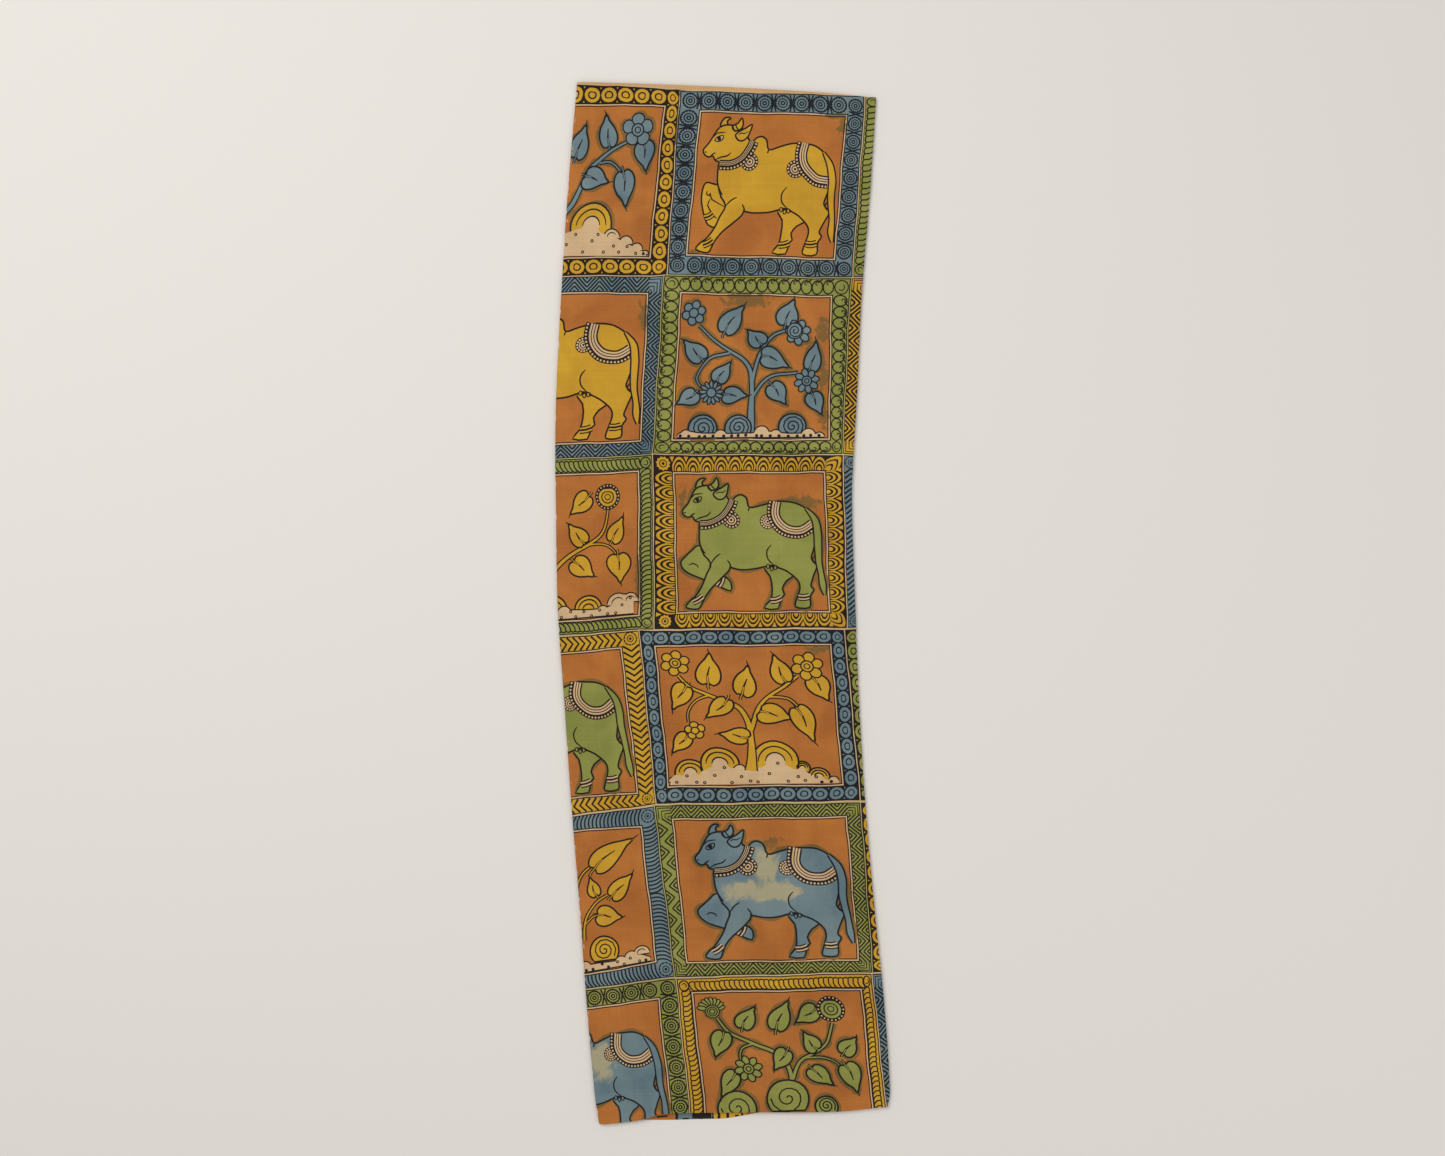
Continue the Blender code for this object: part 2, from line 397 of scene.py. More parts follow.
def spaced(path, spacing):
    """Points a given distance apart along a path."""
    run = np.concatenate([[0], np.cumsum(np.linalg.norm(np.diff(path, axis=0), axis=1))])
    count = max(2, int(run[-1] / spacing))
    at = (np.arange(count) + 0.5) * run[-1] / count
    return np.stack([np.interp(at, run, path[:, k]) for k in (0, 1)], axis=1)


class Pen:
    """Draws on the canvas through a place that turns millimetres into places on the cloth."""

    def __init__(self, canvas, place, ink, line, halo=False):
        self.canvas = canvas
        self.place = place
        self.ink = ink
        self.line = line
        self.halo = halo

    def within(self, inner):
        """A pen whose millimetres first go through another place."""
        return Pen(
            self.canvas, lambda points: self.place(inner(points)), self.ink, self.line, self.halo
        )

    def fill(self, outline, paint):
        if not self.halo:
            self.canvas.fill(self.place(np.asarray(outline, float)), paint)

    def run_out(self, outline):
        """Dye that ran out around a shape."""
        self.canvas.fill(self.place(outline), "olive")

    def stroke(self, path, width=None, paint=None, ends=1.0):
        """A line along a path. It narrows to a share of its width at its ends."""
        path = np.asarray(path, float)
        width = self.line if width is None else width
        if self.halo and np.max(width) < THINNEST_HALO_LINE:
            return
        normals = normals_of(path)
        share = np.linspace(0, 1, len(path))
        taper = ends + (1 - ends) * np.minimum(1, 4 * np.minimum(share, 1 - share))
        if self.halo:
            drift = 0.7 + 0.4 * np.sin(0.37 * path[:, 0] + 0.2 * path[:, 1])
            width = np.asarray(width) + 2 * HALO * drift
        reach = normals * (np.asarray(width) / 2 * taper)[:, None]
        outline = np.vstack([path + reach, (path - reach)[::-1]])
        if self.halo:
            self.run_out(outline)
        else:
            self.fill(outline, paint or self.ink)

    def disc(self, x, y, radius, points, paint):
        self.fill(ellipse(x, y, radius, points=points), paint)

    def beads(self, places, radius, points):
        for x, y in places:
            self.disc(x, y, radius, points, "cream")

    def blob(self, outline, paint, line=None):
        """A filled shape with an ink outline."""
        self.union([outline], paint, line)

    def union(self, outlines, paint, line=None):
        """Shapes that melt into one, with an ink line around them all."""
        line = self.line if line is None else line
        shapes = []
        for outline in outlines:
            outline = np.asarray(outline, float)
            if signed_area(outline) < 0:
                outline = outline[::-1]
            shapes.append((outline, normals_of(outline, True)))
        if self.halo:
            for outline, normals in shapes:
                if abs(signed_area(outline)) > SMALLEST_HALO_AREA and paint != "cream":
                    drift = 0.75 + 0.45 * np.sin(0.19 * outline[:, 0] + 0.13 * outline[:, 1])
                    self.run_out(outline - normals * (line / 2 + HALO * drift[:, None]))
            return
        for outline, normals in shapes:
            self.fill(outline - normals * line / 2, self.ink)
        for outline, normals in shapes:
            self.fill(outline + normals * line / 2, paint)


# Border repeats. Each is drawn along a run: x goes along it, and y from its outer edge inwards.

Run = namedtuple("Run", "pen length depth pitch")


def repeats(run):
    """Centres of the repeats along a run, and their real pitch."""
    count = max(1, round(run.length / run.pitch))
    pitch = run.length / count
    return [(i + 0.5) * pitch for i in range(count)], pitch


def heart(x, y, across, up, turn, dent=0.30):
    """A round shape with one soft dent."""
    steps = np.arange(12)
    angles = np.radians(30 * steps + turn)
    radii = 1 - dent * np.exp(-((steps - 6) ** 2) / 1.1)
    return np.stack([x + across * radii * np.cos(angles), y + up * radii * np.sin(angles)], axis=1)


def toothed(x, y, radius, depth, teeth, turn=0.0):
    """A disc with a toothed rim."""
    angles = np.radians(np.linspace(0, 360, 2 * teeth, endpoint=False) + turn)
    radii = np.where(np.arange(2 * teeth) % 2 == 0, radius, radius - depth)
    return np.stack([x + radii * np.cos(angles), y + radii * np.sin(angles)], axis=1)


def nested(pen, shape, shares, dye, inked=False):
    """Shapes inside each other, in dye and in ink by turns."""
    for share in shares:
        pen.fill(shape(share), pen.ink if inked else dye)
        inked = not inked


def band_beads(run, dye, rng):
    centres, pitch = repeats(run)
    wide, high = pitch / 2 - 0.6, run.depth / 2 - 0.5
    for x in centres:
        turn = rng.choice((90, 90, 270, 0)) + rng.uniform(-15, 15)
        run.pen.fill(heart(x, run.depth / 2, wide, high, turn, 0.10), dye)

        def ring(share):
            return heart(x, run.depth / 2, wide * share, high * share, turn)

        nested(run.pen, ring, (0.58, 0.38), dye, True)
        gap = x + pitch / 2
        for y, sign in ((0.7, 1), (run.depth - 0.7, -1)):
            run.pen.fill([(gap - 1.0, y), (gap + 1.0, y), (gap, y + sign * 2.2)], dye)


def rosette(pen, x, y, radius, dye, rng):
    """A toothed disc with rings in it, inside a thin ink ring."""
    x, y = x + rng.uniform(-0.25, 0.25), y + rng.uniform(-0.25, 0.25)
    pen.disc(x, y, radius, 14, pen.ink)
    pen.fill(toothed(x, y, radius - 1.4, radius * 0.15, 16, rng.uniform(0, 24)), dye)
    for share, paint, points in (
        (0.60, pen.ink, 12), (0.45, dye, 10), (0.31, pen.ink, 8), (0.13, dye, 6)
    ):
        pen.disc(x, y, radius * share, points, paint)


def band_rosettes(run, dye, rng):
    centres, pitch = repeats(run)
    radius = min(pitch, run.depth) / 2 - 0.1
    for x in centres:
        gap = x + pitch / 2
        for sign in (-1, 1):
            low, high = (gap - sign * 2.6, 0.2), (gap + sign * 2.6, run.depth - 0.2)
            run.pen.stroke([low, (gap, run.depth / 2), high], 1.8)
        rosette(run.pen, x, run.depth / 2, radius, dye, rng)


def band_commas(run, dye, rng):
    centres, pitch = repeats(run)
    wide, high = pitch / 2, run.depth / 2 - 0.3
    for x in centres:
        x += rng.uniform(-0.25, 0.25)
        run.pen.blob(ellipse(x, run.depth / 2 + 0.2, wide - 0.2, high - 0.5), dye, 1.5)
        hook = [(x - wide * 0.95, 0.3), (x - wide * 0.5, 1.6), (x - wide * 0.12, 3.9)]
        run.pen.stroke(smooth(hook, 2), 1.4, ends=0.6)
        curl = ((-0.25, 2.2), (0.25, 3.0), (0.3, 5.2), (-0.1, 5.8))
        curl = [(x + wide * across, down) for across, down in curl]
        run.pen.stroke(smooth(curl, 2), 1.3, ends=0.4)


def band_arches(run, dye, rng):
    centres, pitch = repeats(run)
    side = ((0.9, 0), (1, 0.4), (0.55, 0.85))
    half_round = [(-across, rise) for across, rise in side] + [(0, 1), *side[::-1]]
    for x in centres:
        x += rng.uniform(-0.3, 0.3)

        def arch(share):
            half, tall = pitch / 2 * share, run.depth * share * 0.97
            return smooth([(x + half * across, run.depth - tall * rise) for across, rise in half_round], 2)

        nested(run.pen, arch, (0.98, 0.79, 0.63, 0.46, 0.29), dye)
        gap = x + pitch / 2
        drop = ((-2.4, 0.5), (2.4, 0.5), (1.4, 3.0), (0, 6.2), (-1.4, 3.0))
        run.pen.fill([(gap + across, down) for across, down in drop], dye)


def band_zigzag(run, dye, rng):
    """Nested zigzags: slanting lines that turn at each half period."""
    count = max(2, round(run.length / (run.depth * 0.95)))
    half = run.length / count
    slope = run.depth / half
    gap = run.pitch * math.hypot(1, slope)
    line = run.pitch * (0.52 if dye == "green" else 0.60)
    for i in range(count):
        for k in range(-6, 7):
            low = k * gap
            ends = [((y - low) / slope, y) for y in (0.0, run.depth)]
            ends = [(x, y) for x, y in ends if 0 < x < half]
            ends += [(x, low + slope * x) for x in (0.0, half) if 0 <= low + slope * x <= run.depth]
            if len(ends) < 2 or abs(ends[0][0] - ends[1][0]) < 0.9:
                continue
            ends.sort()
            if i % 2:
                ends = [(half - x, y) for x, y in reversed(ends)]
            shake = rng.uniform(-0.15, 0.15)
            run.pen.stroke([(i * half + x, y + shake) for x, y in ends], line)


def band_herringbone(run, dye, rng):
    lean = run.depth * 0.38
    for x in repeats(run)[0]:
        x += rng.uniform(-0.2, 0.2) - lean / 2
        run.pen.stroke([(x + lean, 0.2), (x, run.depth / 2), (x + lean, run.depth - 0.2)], 2.3)


ROPE_CURVE = (
    (-0.55, 0.10), (0.10, 0.02), (0.62, 0.20), (0.40, 0.60), (-0.20, 0.97), (-1.00, 0.94), (-0.55, 0.55)
)
LEAVES_CURVE = (
    (-0.50, 0.12), (0.10, 0.03), (0.58, 0.20), (0.30, 0.62), (-0.50, 0.97), (-1.10, 0.88), (-0.62, 0.52)
)


def leaning_leaves(run, dye, rng, start, curve):
    """Narrow leaves side by side, each over the one before it. The curve gives their outline."""
    centres, pitch = repeats(run)
    depth = run.depth - start
    for x in centres:
        x += rng.uniform(-0.15, 0.15)
        leaf = [(x + pitch * across, start + depth * down) for across, down in curve]
        run.pen.blob(smooth(leaf, 2, True), dye, 1.5)


def band_rope(run, dye, rng):
    leaning_leaves(run, dye, rng, 2.4, ROPE_CURVE)


def band_leaves(run, dye, rng):
    leaning_leaves(run, dye, rng, 1.0, LEAVES_CURVE)


def band_scales(run, dye, rng):
    """Slanting curved strokes. They lean the other way in the second half."""
    for x in repeats(run)[0]:
        bow = ((x - 2.4, 0.0), (x + 0.6, 0.30), (x + 1.7, 0.68), (x + 1.4, 1.0))
        if x > run.length / 2:
            bow = [(2 * x - across, down) for across, down in bow]
        run.pen.stroke(smooth([(across, run.depth * down) for across, down in bow], 2), 1.75)


# Each border's repeat, what its ground is painted with, and what fills its corners
Band = namedtuple("Band", "draw ground corner")
BANDS = {
    "beads": Band(band_beads, "ink", "bead"),
    "rosettes": Band(band_rosettes, "dye", "rosette"),
    "commas": Band(band_commas, "dye", "disc"),
    "arches": Band(band_arches, "ink", "flower"),
    "zigzag": Band(band_zigzag, "dye", "mitre"),
    "herringbone": Band(band_herringbone, "dye", "flower"),
    "rope": Band(band_rope, "dye", "disc"),
    "leaves": Band(band_leaves, "dye", "disc"),
    "scales": Band(band_scales, "dye", "flower"),
}


def draw_corner(pen, kind, wide, high, dye, rng):
    """What fills the square where two runs of a border meet."""
    x, y, radius = wide / 2, high / 2, min(wide, high) / 2
    if kind == "bead":

        def ring(share):
            return heart(x, y, wide / 2 * share, high / 2 * share, 45, 0.2)

        nested(pen, ring, (0.95, 0.55, 0.38), dye)
    elif kind == "rosette":
        rosette(pen, x, y, radius - 0.1, dye, rng)
    elif kind == "fan":

        def wing(share):
            side, middle = 1 - 0.8 * share, 1 - share
            shape = ((wide, high), (wide, high * side), (wide * middle, high * middle), (wide * side, high))
            return smooth(shape, 3, True)

        nested(pen, wing, (0.95, 0.76, 0.65, 0.44, 0.32), dye)
    elif kind == "flower":
        pen.disc(x, y, radius * 1.08, 16, pen.ink)
        pen.fill(toothed(x, y, radius * 0.98, radius * 0.17, 11), dye)
        nested(pen, lambda share: ellipse(x, y, radius * share, points=9), (0.56, 0.42, 0.22), dye, True)
    elif kind == "disc":
        pen.blob(ellipse(x, y, wide / 2 - 1.0, high / 2 - 1.0, points=13), dye, 1.4)
        pen.stroke(ellipse(x, y, wide / 5, high / 5, points=7, start=30, end=250), 1.2, ends=0.5)
    else:
        for share in (0.12, 0.36, 0.60, 0.84):
            across, up = wide * share, high * share
            pen.stroke([(across, high), (across, up), (wide, up)], 1.3)


# Squares of the print

LINE = 1.25
STRIP = 1.3
GAP = 0.3
PALE_EDGE = 0.7
BORDER_LINE = 1.4
RIGHT_CORNERS = (1, 2)
PICTURE_LINE = 1.9
OUTER_LINES = GAP + LINE
INNER_LINES = 2 * LINE + STRIP


def distance(start, end):
    return np.linalg.norm(end - start)


def box_outline(left, bottom, right, top, spacing=14.0):
    """A rectangle with points along its sides, so that it can waver like a hand-drawn one."""
    corners = [(left, bottom), (right, bottom), (right, top), (left, top)]
    out = []
    for start, end in zip(corners, corners[1:] + corners[:1]):
        start, end = np.array(start), np.array(end)
        steps = max(1, round(distance(start, end) / spacing))
        out += [start + (end - start) * i / steps for i in range(steps)]
    return np.array(out)


def waver(flat):
    """The small drift of lines that a hand draws."""
    x, y = flat[:, 0], flat[:, 1]
    drift_x = 0.45 * np.sin(71 * y + 9 * x + 1.0) + 0.28 * np.sin(173 * y - 20 * x)
    drift_y = 0.45 * np.sin(67 * x - 11 * y + 2.0) + 0.28 * np.sin(181 * x + 16 * y + 0.5)
    return flat + np.stack([drift_x, drift_y], axis=1) * MM


class Square:
    """Four corners on the flat cloth: turns its own millimetres into places between them."""

    def __init__(self, low_left, low_right, high_left, high_right):
        corners = (low_left, low_right, high_left, high_right)
        corners = tuple(np.asarray(corner, float) for corner in corners)
        low_left, low_right, high_left, high_right = self.corners = corners
        self.width = (distance(low_left, low_right) + distance(high_left, high_right)) / 2 / MM
        self.height = (distance(low_left, high_left) + distance(low_right, high_right)) / 2 / MM

    def between(self, points):
        points = np.atleast_2d(np.asarray(points, float))
        u = points[:, :1] / self.width
        v = points[:, 1:] / self.height
        low_left, low_right, high_left, high_right = self.corners
        low = (1 - u) * low_left + u * low_right
        high = (1 - u) * high_left + u * high_right
        return (1 - v) * low + v * high

    def box(self, inset):
        return box_outline(inset, inset, self.width - inset, self.height - inset)

    def corner(self, inset, index):
        """A corner moved inwards. Corners are counted from the low left one, counter-clockwise."""
        x = self.width - inset if index in (1, 2) else inset
        y = self.height - inset if index in (2, 3) else inset
        return self.between((x, y))[0]

    def __call__(self, points):
        return waver(self.between(points))


def foot(start, end, point):
    """The place on a line nearest to a point."""
    along = end - start
    return start + along * np.dot(point - start, along) / np.dot(along, along)


def draw_frame(canvas, cell, ink, rng):
    """The lines and the border band around a picture."""
    band = BANDS[cell.band]
    ground = cell.dye if band.ground == "dye" else ink
    outer, inner = Square(*cell.outer), Square(*cell.inner)
    pale = "pale_green" if cell.dye == "green" else "cream"
    for square, inset, paint in (
        (outer, -PALE_EDGE, pale), (outer, GAP, ink), (outer, OUTER_LINES, ground),
        (inner, -INNER_LINES, ink), (inner, -LINE - STRIP, "cream"), (inner, -LINE, ink),
        (inner, 0.0, "orange"),
    ):
        canvas.fill(square(square.box(inset)), paint)
    out = [outer.corner(OUTER_LINES, i) for i in range(4)]
    into = [inner.corner(-INNER_LINES, i) for i in range(4)]
    for i in range(4):
        j = (i + 1) % 4
        start = foot(out[i], out[j], into[i])
        side = Square(start, foot(out[i], out[j], into[j]), into[i], into[j])
        pen = Pen(canvas, side, ink, BORDER_LINE)
        band.draw(Run(pen, side.width, side.height, cell.pitch), cell.dye, rng)
        patch = Square(out[i], start, foot(out[i - 1], out[i], into[i]), into[i])
        kind = "fan" if cell.band == "arches" and i in RIGHT_CORNERS else band.corner
        pen = Pen(canvas, patch, ink, BORDER_LINE)
        draw_corner(pen, kind, patch.width, patch.height, cell.dye, rng)
    return inner


# The cow, on a field 160 wide and 150 high, walking left

FIELD = np.array([160.0, 150.0])
COW_TORSO = (
    (53, 123), (60, 121), (64, 125), (70, 127), (76, 123), (79, 113), (92, 116), (106, 120), (118, 120),
    (130, 118), (141, 111), (148, 99), (149, 84), (147, 66), (140, 52), (122, 46), (104, 50), (96, 49),
    (84, 46), (70, 45), (58, 47), (40, 53), (31, 62), (25, 74), (24, 88), (25, 98), (34, 102),
    (46, 110),
)
COW_HEAD = (
    (30, 138), (22, 135), (17, 128), (12, 118), (6.5, 111), (7.5, 106), (12, 103), (17, 104),
    (20, 99.5), (26, 98), (36, 99), (46, 104), (53, 112), (56, 121), (51, 131), (42, 137),
)
COW_HIND_LEG = (
    (148, 80), (146, 64), (145, 56), (151, 48), (147, 38), (143, 27), (146, 22), (142, 15), (141, 3),
    (126, 3), (128, 14), (131, 24), (129, 33), (118, 43), (106, 50), (100, 66), (112, 80),
)
COW_FAR_HIND_LEG = (
    (94, 50), (100, 38), (101, 24), (99, 12), (92, 3), (107, 2), (110, 13), (114, 17), (112, 24),
    (117, 32), (126, 41),
)
COW_FORE_LEG = (
    (28, 64), (36, 52), (31, 40), (26, 28), (18, 16), (12, 11), (8, 4), (21, 1.5), (26, 10), (29, 16),
    (36, 25), (47, 35), (57, 47), (48, 60),
)
COW_TUCKED_LEG = (
    (29, 72), (19, 75), (12, 76), (8.5, 69), (8, 58), (11, 48), (15, 38), (19, 31), (28, 29), (33, 37),
    (36, 52), (30, 64),
)
COW_CROSSED_LEG = (
    (25, 72), (17, 67), (9, 60), (3.5, 54), (6, 46), (15, 39.5), (26, 35), (38, 29), (46, 25), (56, 21),
    (57, 30), (52, 36), (44, 39), (34, 42), (36, 56),
)
COW_TAIL = ((140, 112), (149, 99), (152, 84), (152, 69), (153, 54), (155, 40), (156, 27), (158, 16))
COW_TAIL_WIDTHS = (0.8, 5.4, 6.6, 6.2, 5.2, 4.4, 5.6, 0.8)
COW_FAR_HORN = ((22, 135), (23.5, 142), (28, 146), (33, 145.5), (29, 142), (30, 136))
COW_NEAR_HORN = ((35, 137), (41, 140.5), (45, 146), (47, 139), (44, 133.5), (38, 132.5))
COW_EAR = (
    (40, 128), (45, 132.5), (50, 135), (57, 139.5), (56, 132), (54, 126), (49.5, 122), (44, 122.5),
)
Garland = namedtuple("Garland", "path width pendant size")
COW_NECK, COW_NARROW_RUMP, COW_WIDE_RUMP = rows(Garland, (
    (((25, 96.5), (37, 97.5), (49, 103.5), (57, 114), (60, 122)), 6.2, 0.60, 9.8),
    (((119, 121), (117, 109), (120, 98), (128, 88.5), (136, 83), (147, 82)), 9.0, 0.40, 9.8),
    (((109, 120), (106.5, 107), (110, 97), (120, 89), (134, 88), (146, 95)), 9.6, 0.34, 8.4),
))
COW_LINES = (
    ((36, 51.5), (41, 58), (47, 62)), ((57.5, 46), (57, 50), (54, 55)),
    ((102, 73), (97, 66), (98, 57), (105, 50)), ((20, 100), (26, 103), (33, 105), (37, 109)),
    ((14, 103), (17, 106), (20, 107.5)), ((8, 108), (10, 108.5)), ((25, 74), (28, 64), (36, 52)),
    ((79, 113), (77.5, 109)), ((149, 60), (146, 54), (151, 49)),
)
Anklet = namedtuple("Anklet", "x y turn wide")
COW_ANKLETS = rows(Anklet, ((135, 14.5, 4, 12), (105, 12.5, 12, 12), (20.5, 12.5, 32, 12.5)))

# How much narrower the one cow is that the photo shows in a narrow square
NARROWER = 10.0


def draw_garland(pen, garland):
    """A striped band with a row of beads along its outer side and a round pendant."""
    path = smooth(garland.path, 4)
    aside = -normals_of(path)
    half = garland.width / 2
    beads = path + aside * (half + 1.7)
    index = int(garland.pendant * (len(path) - 1))
    x, y = path[index] + aside[index] * (half + garland.size * 0.66)
    size = garland.size
    pen.disc(x, y, size, 18, pen.ink)
    pen.beads(ellipse(x, y, size - 1.9, points=14), 1.15, 6)
    for radius, paint in ((5.2, "cream"), (3.9, pen.ink), (2.8, "cream"), (1.3, pen.ink)):
        pen.disc(x, y, radius * size / 9, 10, paint)
    pen.stroke(beads, 5.0)
    pen.stroke(path, garland.width + 1.2)
    stripe = (garland.width - 1.2) / 3
    for offset in (-stripe, 0, stripe):
        pen.stroke(path + aside * offset, stripe - 1.0, "cream")
    pen.beads(spaced(beads + aside * 0.4, 3.6), 1.2, 6)


def draw_anklet(pen, anklet, paint):
    half = anklet.wide / 2
    for lift, tone, thick in ((0.0, pen.ink, 7.8), (1.8, paint, 1.5), (-1.8, paint, 1.5)):
        line = moved([(-half, lift), (0, lift - 0.9), (half, lift)], anklet.x, anklet.y, anklet.turn)
        pen.stroke(smooth(line, 2), thick, tone)


def draw_cow(pen, cell):
    """A humped cow with neck and rump garlands and anklets."""
    dye = cell.picture_dye
    if cell.dye == "green" and not cell.tucked and dye == "blue":
        share = 1 - NARROWER / FIELD[0]
        pen = pen.within(lambda points: np.asarray(points, float) * (share, 1) + (NARROWER, 0))
    pen.blob(smooth(COW_TUCKED_LEG if cell.tucked else COW_CROSSED_LEG, 2, True), dye)
    if cell.tucked:
        knee = ((14, 67), (13, 64), (16, 62), (17, 65), (20, 58), (35, 51))
        for line in (knee, ((18, 59), (16, 52), (22, 44), (28, 38))):
            pen.stroke(smooth(line, 2), 1.5, ends=0.6)
        draw_anklet(pen, Anklet(19, 41, 30, 10), dye)
    else:
        pen.stroke(smooth([(12, 50), (16, 52), (21, 50), (22, 47)], 2), 1.5, ends=0.5)
        draw_anklet(pen, Anklet(45.5, 31.5, 62, 11), "cream")
    pen.blob(smooth(COW_FAR_HIND_LEG, 2, True), dye)
    pen.blob(smooth(COW_FAR_HORN, 3, True), dye)
    near = (COW_TORSO, COW_HEAD, COW_HIND_LEG, COW_FORE_LEG)
    pen.union([smooth(shape, 3, True) for shape in near], dye)
    for line in COW_LINES:
        pen.stroke(smooth(line, 3), 1.6, ends=0.5)
    for x, y in ((98, 49), (102, 46.5), (106, 47.5)):
        pen.blob(ellipse(x, y, 1.7, 2.4, points=7), dye, 1.3)
    tail = smooth(COW_TAIL, 4)
    widths = smooth([(width, 0) for width in COW_TAIL_WIDTHS], 4)[:, 0]
    rump = COW_NARROW_RUMP if cell.tucked else COW_WIDE_RUMP
    for garland in (COW_NECK, rump):
        draw_garland(pen, garland)
    pen.stroke(tail, widths + 3.4)
    pen.stroke(tail, widths, dye)
    for anklet in COW_ANKLETS:
        draw_anklet(pen, anklet, dye if dye == "yellow" else "cream")
    pen.blob(smooth(COW_NEAR_HORN, 3, True), dye)
    for path in (((35, 138), (37, 134), (39, 131)), ((38, 140), (40, 136), (43, 132.5))):
        pen.stroke(smooth(path, 2), 1.5)
    pen.blob(smooth(COW_EAR, 3, True), dye)
    pen.stroke(smooth([(43, 128), (46, 130), (50, 129.5), (54, 132)], 2), 1.3, ends=0.5)
    almond = smooth([(18, 120.5), (21, 124.5), (27, 126), (26, 121.5), (22, 119.5)], 2, True)
    pen.blob(almond, "cream" if dye == "yellow" else dye, 1.4)
    pen.disc(22.6, 122.6, 2.3, 8, pen.ink)
    pen.stroke(smooth([(16, 124), (20, 128.5), (29, 129.5)], 2), 1.4, ends=0.4)


# Trees, on the same field

Branch = namedtuple("Branch", "start end points")
Leaf = namedtuple("Leaf", "x y turn length width")
Flower = namedtuple("Flower", "x y size petals centre")
Mound = namedtuple("Mound", "x y radius kind")
Tree = namedtuple("Tree", "branches leaves flowers mounds ground bumps")


def grown(branches, leaves, flowers, mounds, ground, bumps):
    """A tree with the columns of its tables named."""
    parts = rows(Branch, branches), rows(Leaf, leaves), rows(Flower, flowers), rows(Mound, mounds)
    return Tree(*parts, ground, bumps)


SPREADING_TREE = grown(
    branches=(
        (10, 6.5, ((79, 6), (80, 30), (80, 46))), (6.5, 4.5, ((80, 44), (78, 68), (70, 81), (57, 90))),
        (4.5, 3.2, ((60, 88), (45, 98), (32, 107), (20, 118))),
        (4.2, 2.8, ((54, 90), (36, 86), (26, 76), (21, 63), (27, 53))),
        (5.0, 3.6, ((80, 60), (84, 84), (92, 99), (104, 111), (122, 117))),
        (4.6, 3.4, ((80, 42), (90, 58), (104, 67), (128, 70))),
    ),
    leaves=(
        (55, 126, 62, 35, 23), (17, 93, 128, 29, 21), (47, 70, 68, 24, 19), (13, 41, 226, 24, 19),
        (61, 43, -20, 25, 19), (83, 107, 122, 22, 20), (116, 133, 76, 29, 24), (102, 85, -6, 31, 23),
        (146, 86, 64, 31, 19), (107, 47, -52, 26, 21), (147, 37, -70, 25, 19),
    ),
    flowers=(
        (14, 131, 25, 6, "plain"), (127, 113, 27, 7, "spiral"), (37, 48, 25, 13, "plain"),
        (137, 61, 26, 8, "ringed"),
    ),
    mounds=((29, 10, 15, "spiral"), (66, 10, 14, "spiral"), (123, 12, 14.5, "spiral")),
    ground=((3, 4), (12, 8), (30, 6), (60, 5), (80, 5), (92, 8), (110, 6), (140, 5), (157, 3)),
    bumps=((91, 5, 8), (12, 3, 6), (48, 2, 7), (106, 2, 7), (140, 2, 8), (152, 1, 5)),
)
HILL_TREE = grown(
    branches=(
        (14, 7.5, ((77, 15), (78, 26), (80, 44))), (8, 5, ((80, 42), (79, 66), (73, 82), (62, 90))),
        (5, 3.4, ((64, 89), (44, 97), (28, 106), (17, 119))),
        (3.6, 2.4, ((44, 97), (31, 91), (24, 80), (23, 68))),
        (6, 4, ((81, 60), (89, 82), (98, 94), (114, 106), (128, 117))),
        (4, 2.4, ((100, 95), (117, 93), (127, 82), (131, 66))),
    ),
    leaves=(
        (46, 125, 84, 34, 24), (15, 98, 228, 29, 21), (54, 82, 240, 28, 20), (81, 112, 66, 33, 22),
        (112, 125, 108, 32, 20), (147, 104, -66, 29, 22), (103, 73, -30, 30, 24),
        (132, 66, -66, 40, 22), (66, 56, 155, 27, 19), (13, 46, 228, 25, 17),
    ),
    flowers=((15, 133, 27, 6, "ringed"), (138, 128, 30, 6, "ringed"), (28, 59, 19, 5, "plain")),
    mounds=(
        (20, 13, 14.5, "rainbow"), (125, 17, 7.5, "rainbow"), (140, 8, 10, "rainbow"),
        (48, 22.5, 18, "rainbow"), (100, 24.5, 22, "rainbow"),
    ),
    ground=(
        (1, 3), (3, 9), (8, 11), (13, 10), (20, 14), (28, 11), (31, 15), (38, 18), (48, 24), (58, 19),
        (66, 18), (76, 15), (84, 18), (90, 20), (100, 27), (111, 20), (118, 16), (125, 17), (131, 11),
        (139, 9), (147, 5), (158, 3),
    ),
    bumps=((4, 4, 5), (66, 16, 6), (153, 3, 5)),
)
BUDDING_TREE = grown(
    branches=(
        (8, 6, ((80, 40), (84, 52), (86, 60))),
        (6, 4.5, ((86, 58), (84, 72), (74, 86), (58, 94), (46, 100))),
        (4.5, 3.6, ((48, 99), (30, 108), (20, 124))),
        (3.6, 2.4, ((54, 97), (42, 92), (38, 82), (40, 74))),
        (5, 3.6, ((87, 58), (96, 76), (112, 86), (124, 96), (130, 116))),
        (3.6, 2.4, ((102, 80), (118, 80), (132, 74), (140, 64))),
    ),
    leaves=(
        (47, 124, 72, 26, 19), (80, 126, 74, 33, 21), (106, 126, 212, 26, 20), (20, 97, 248, 28, 21),
        (107, 96, 134, 22, 18), (145, 92, 52, 22, 19), (77, 80, 232, 25, 19), (22, 56, 222, 29, 19),
        (113, 59, -55, 26, 20), (146, 60, -62, 31, 22),
    ),
    flowers=((15, 133, 27, 0, "bud"), (45, 70, 27, 8, "ringed"), (130, 131, 28, 0, "beaded")),
    mounds=((30, 27, 19, "spiral"), (80, 37, 20.5, "spiral"), (117, 28, 11, "spiral")),
    ground=(),
    bumps=(),
)
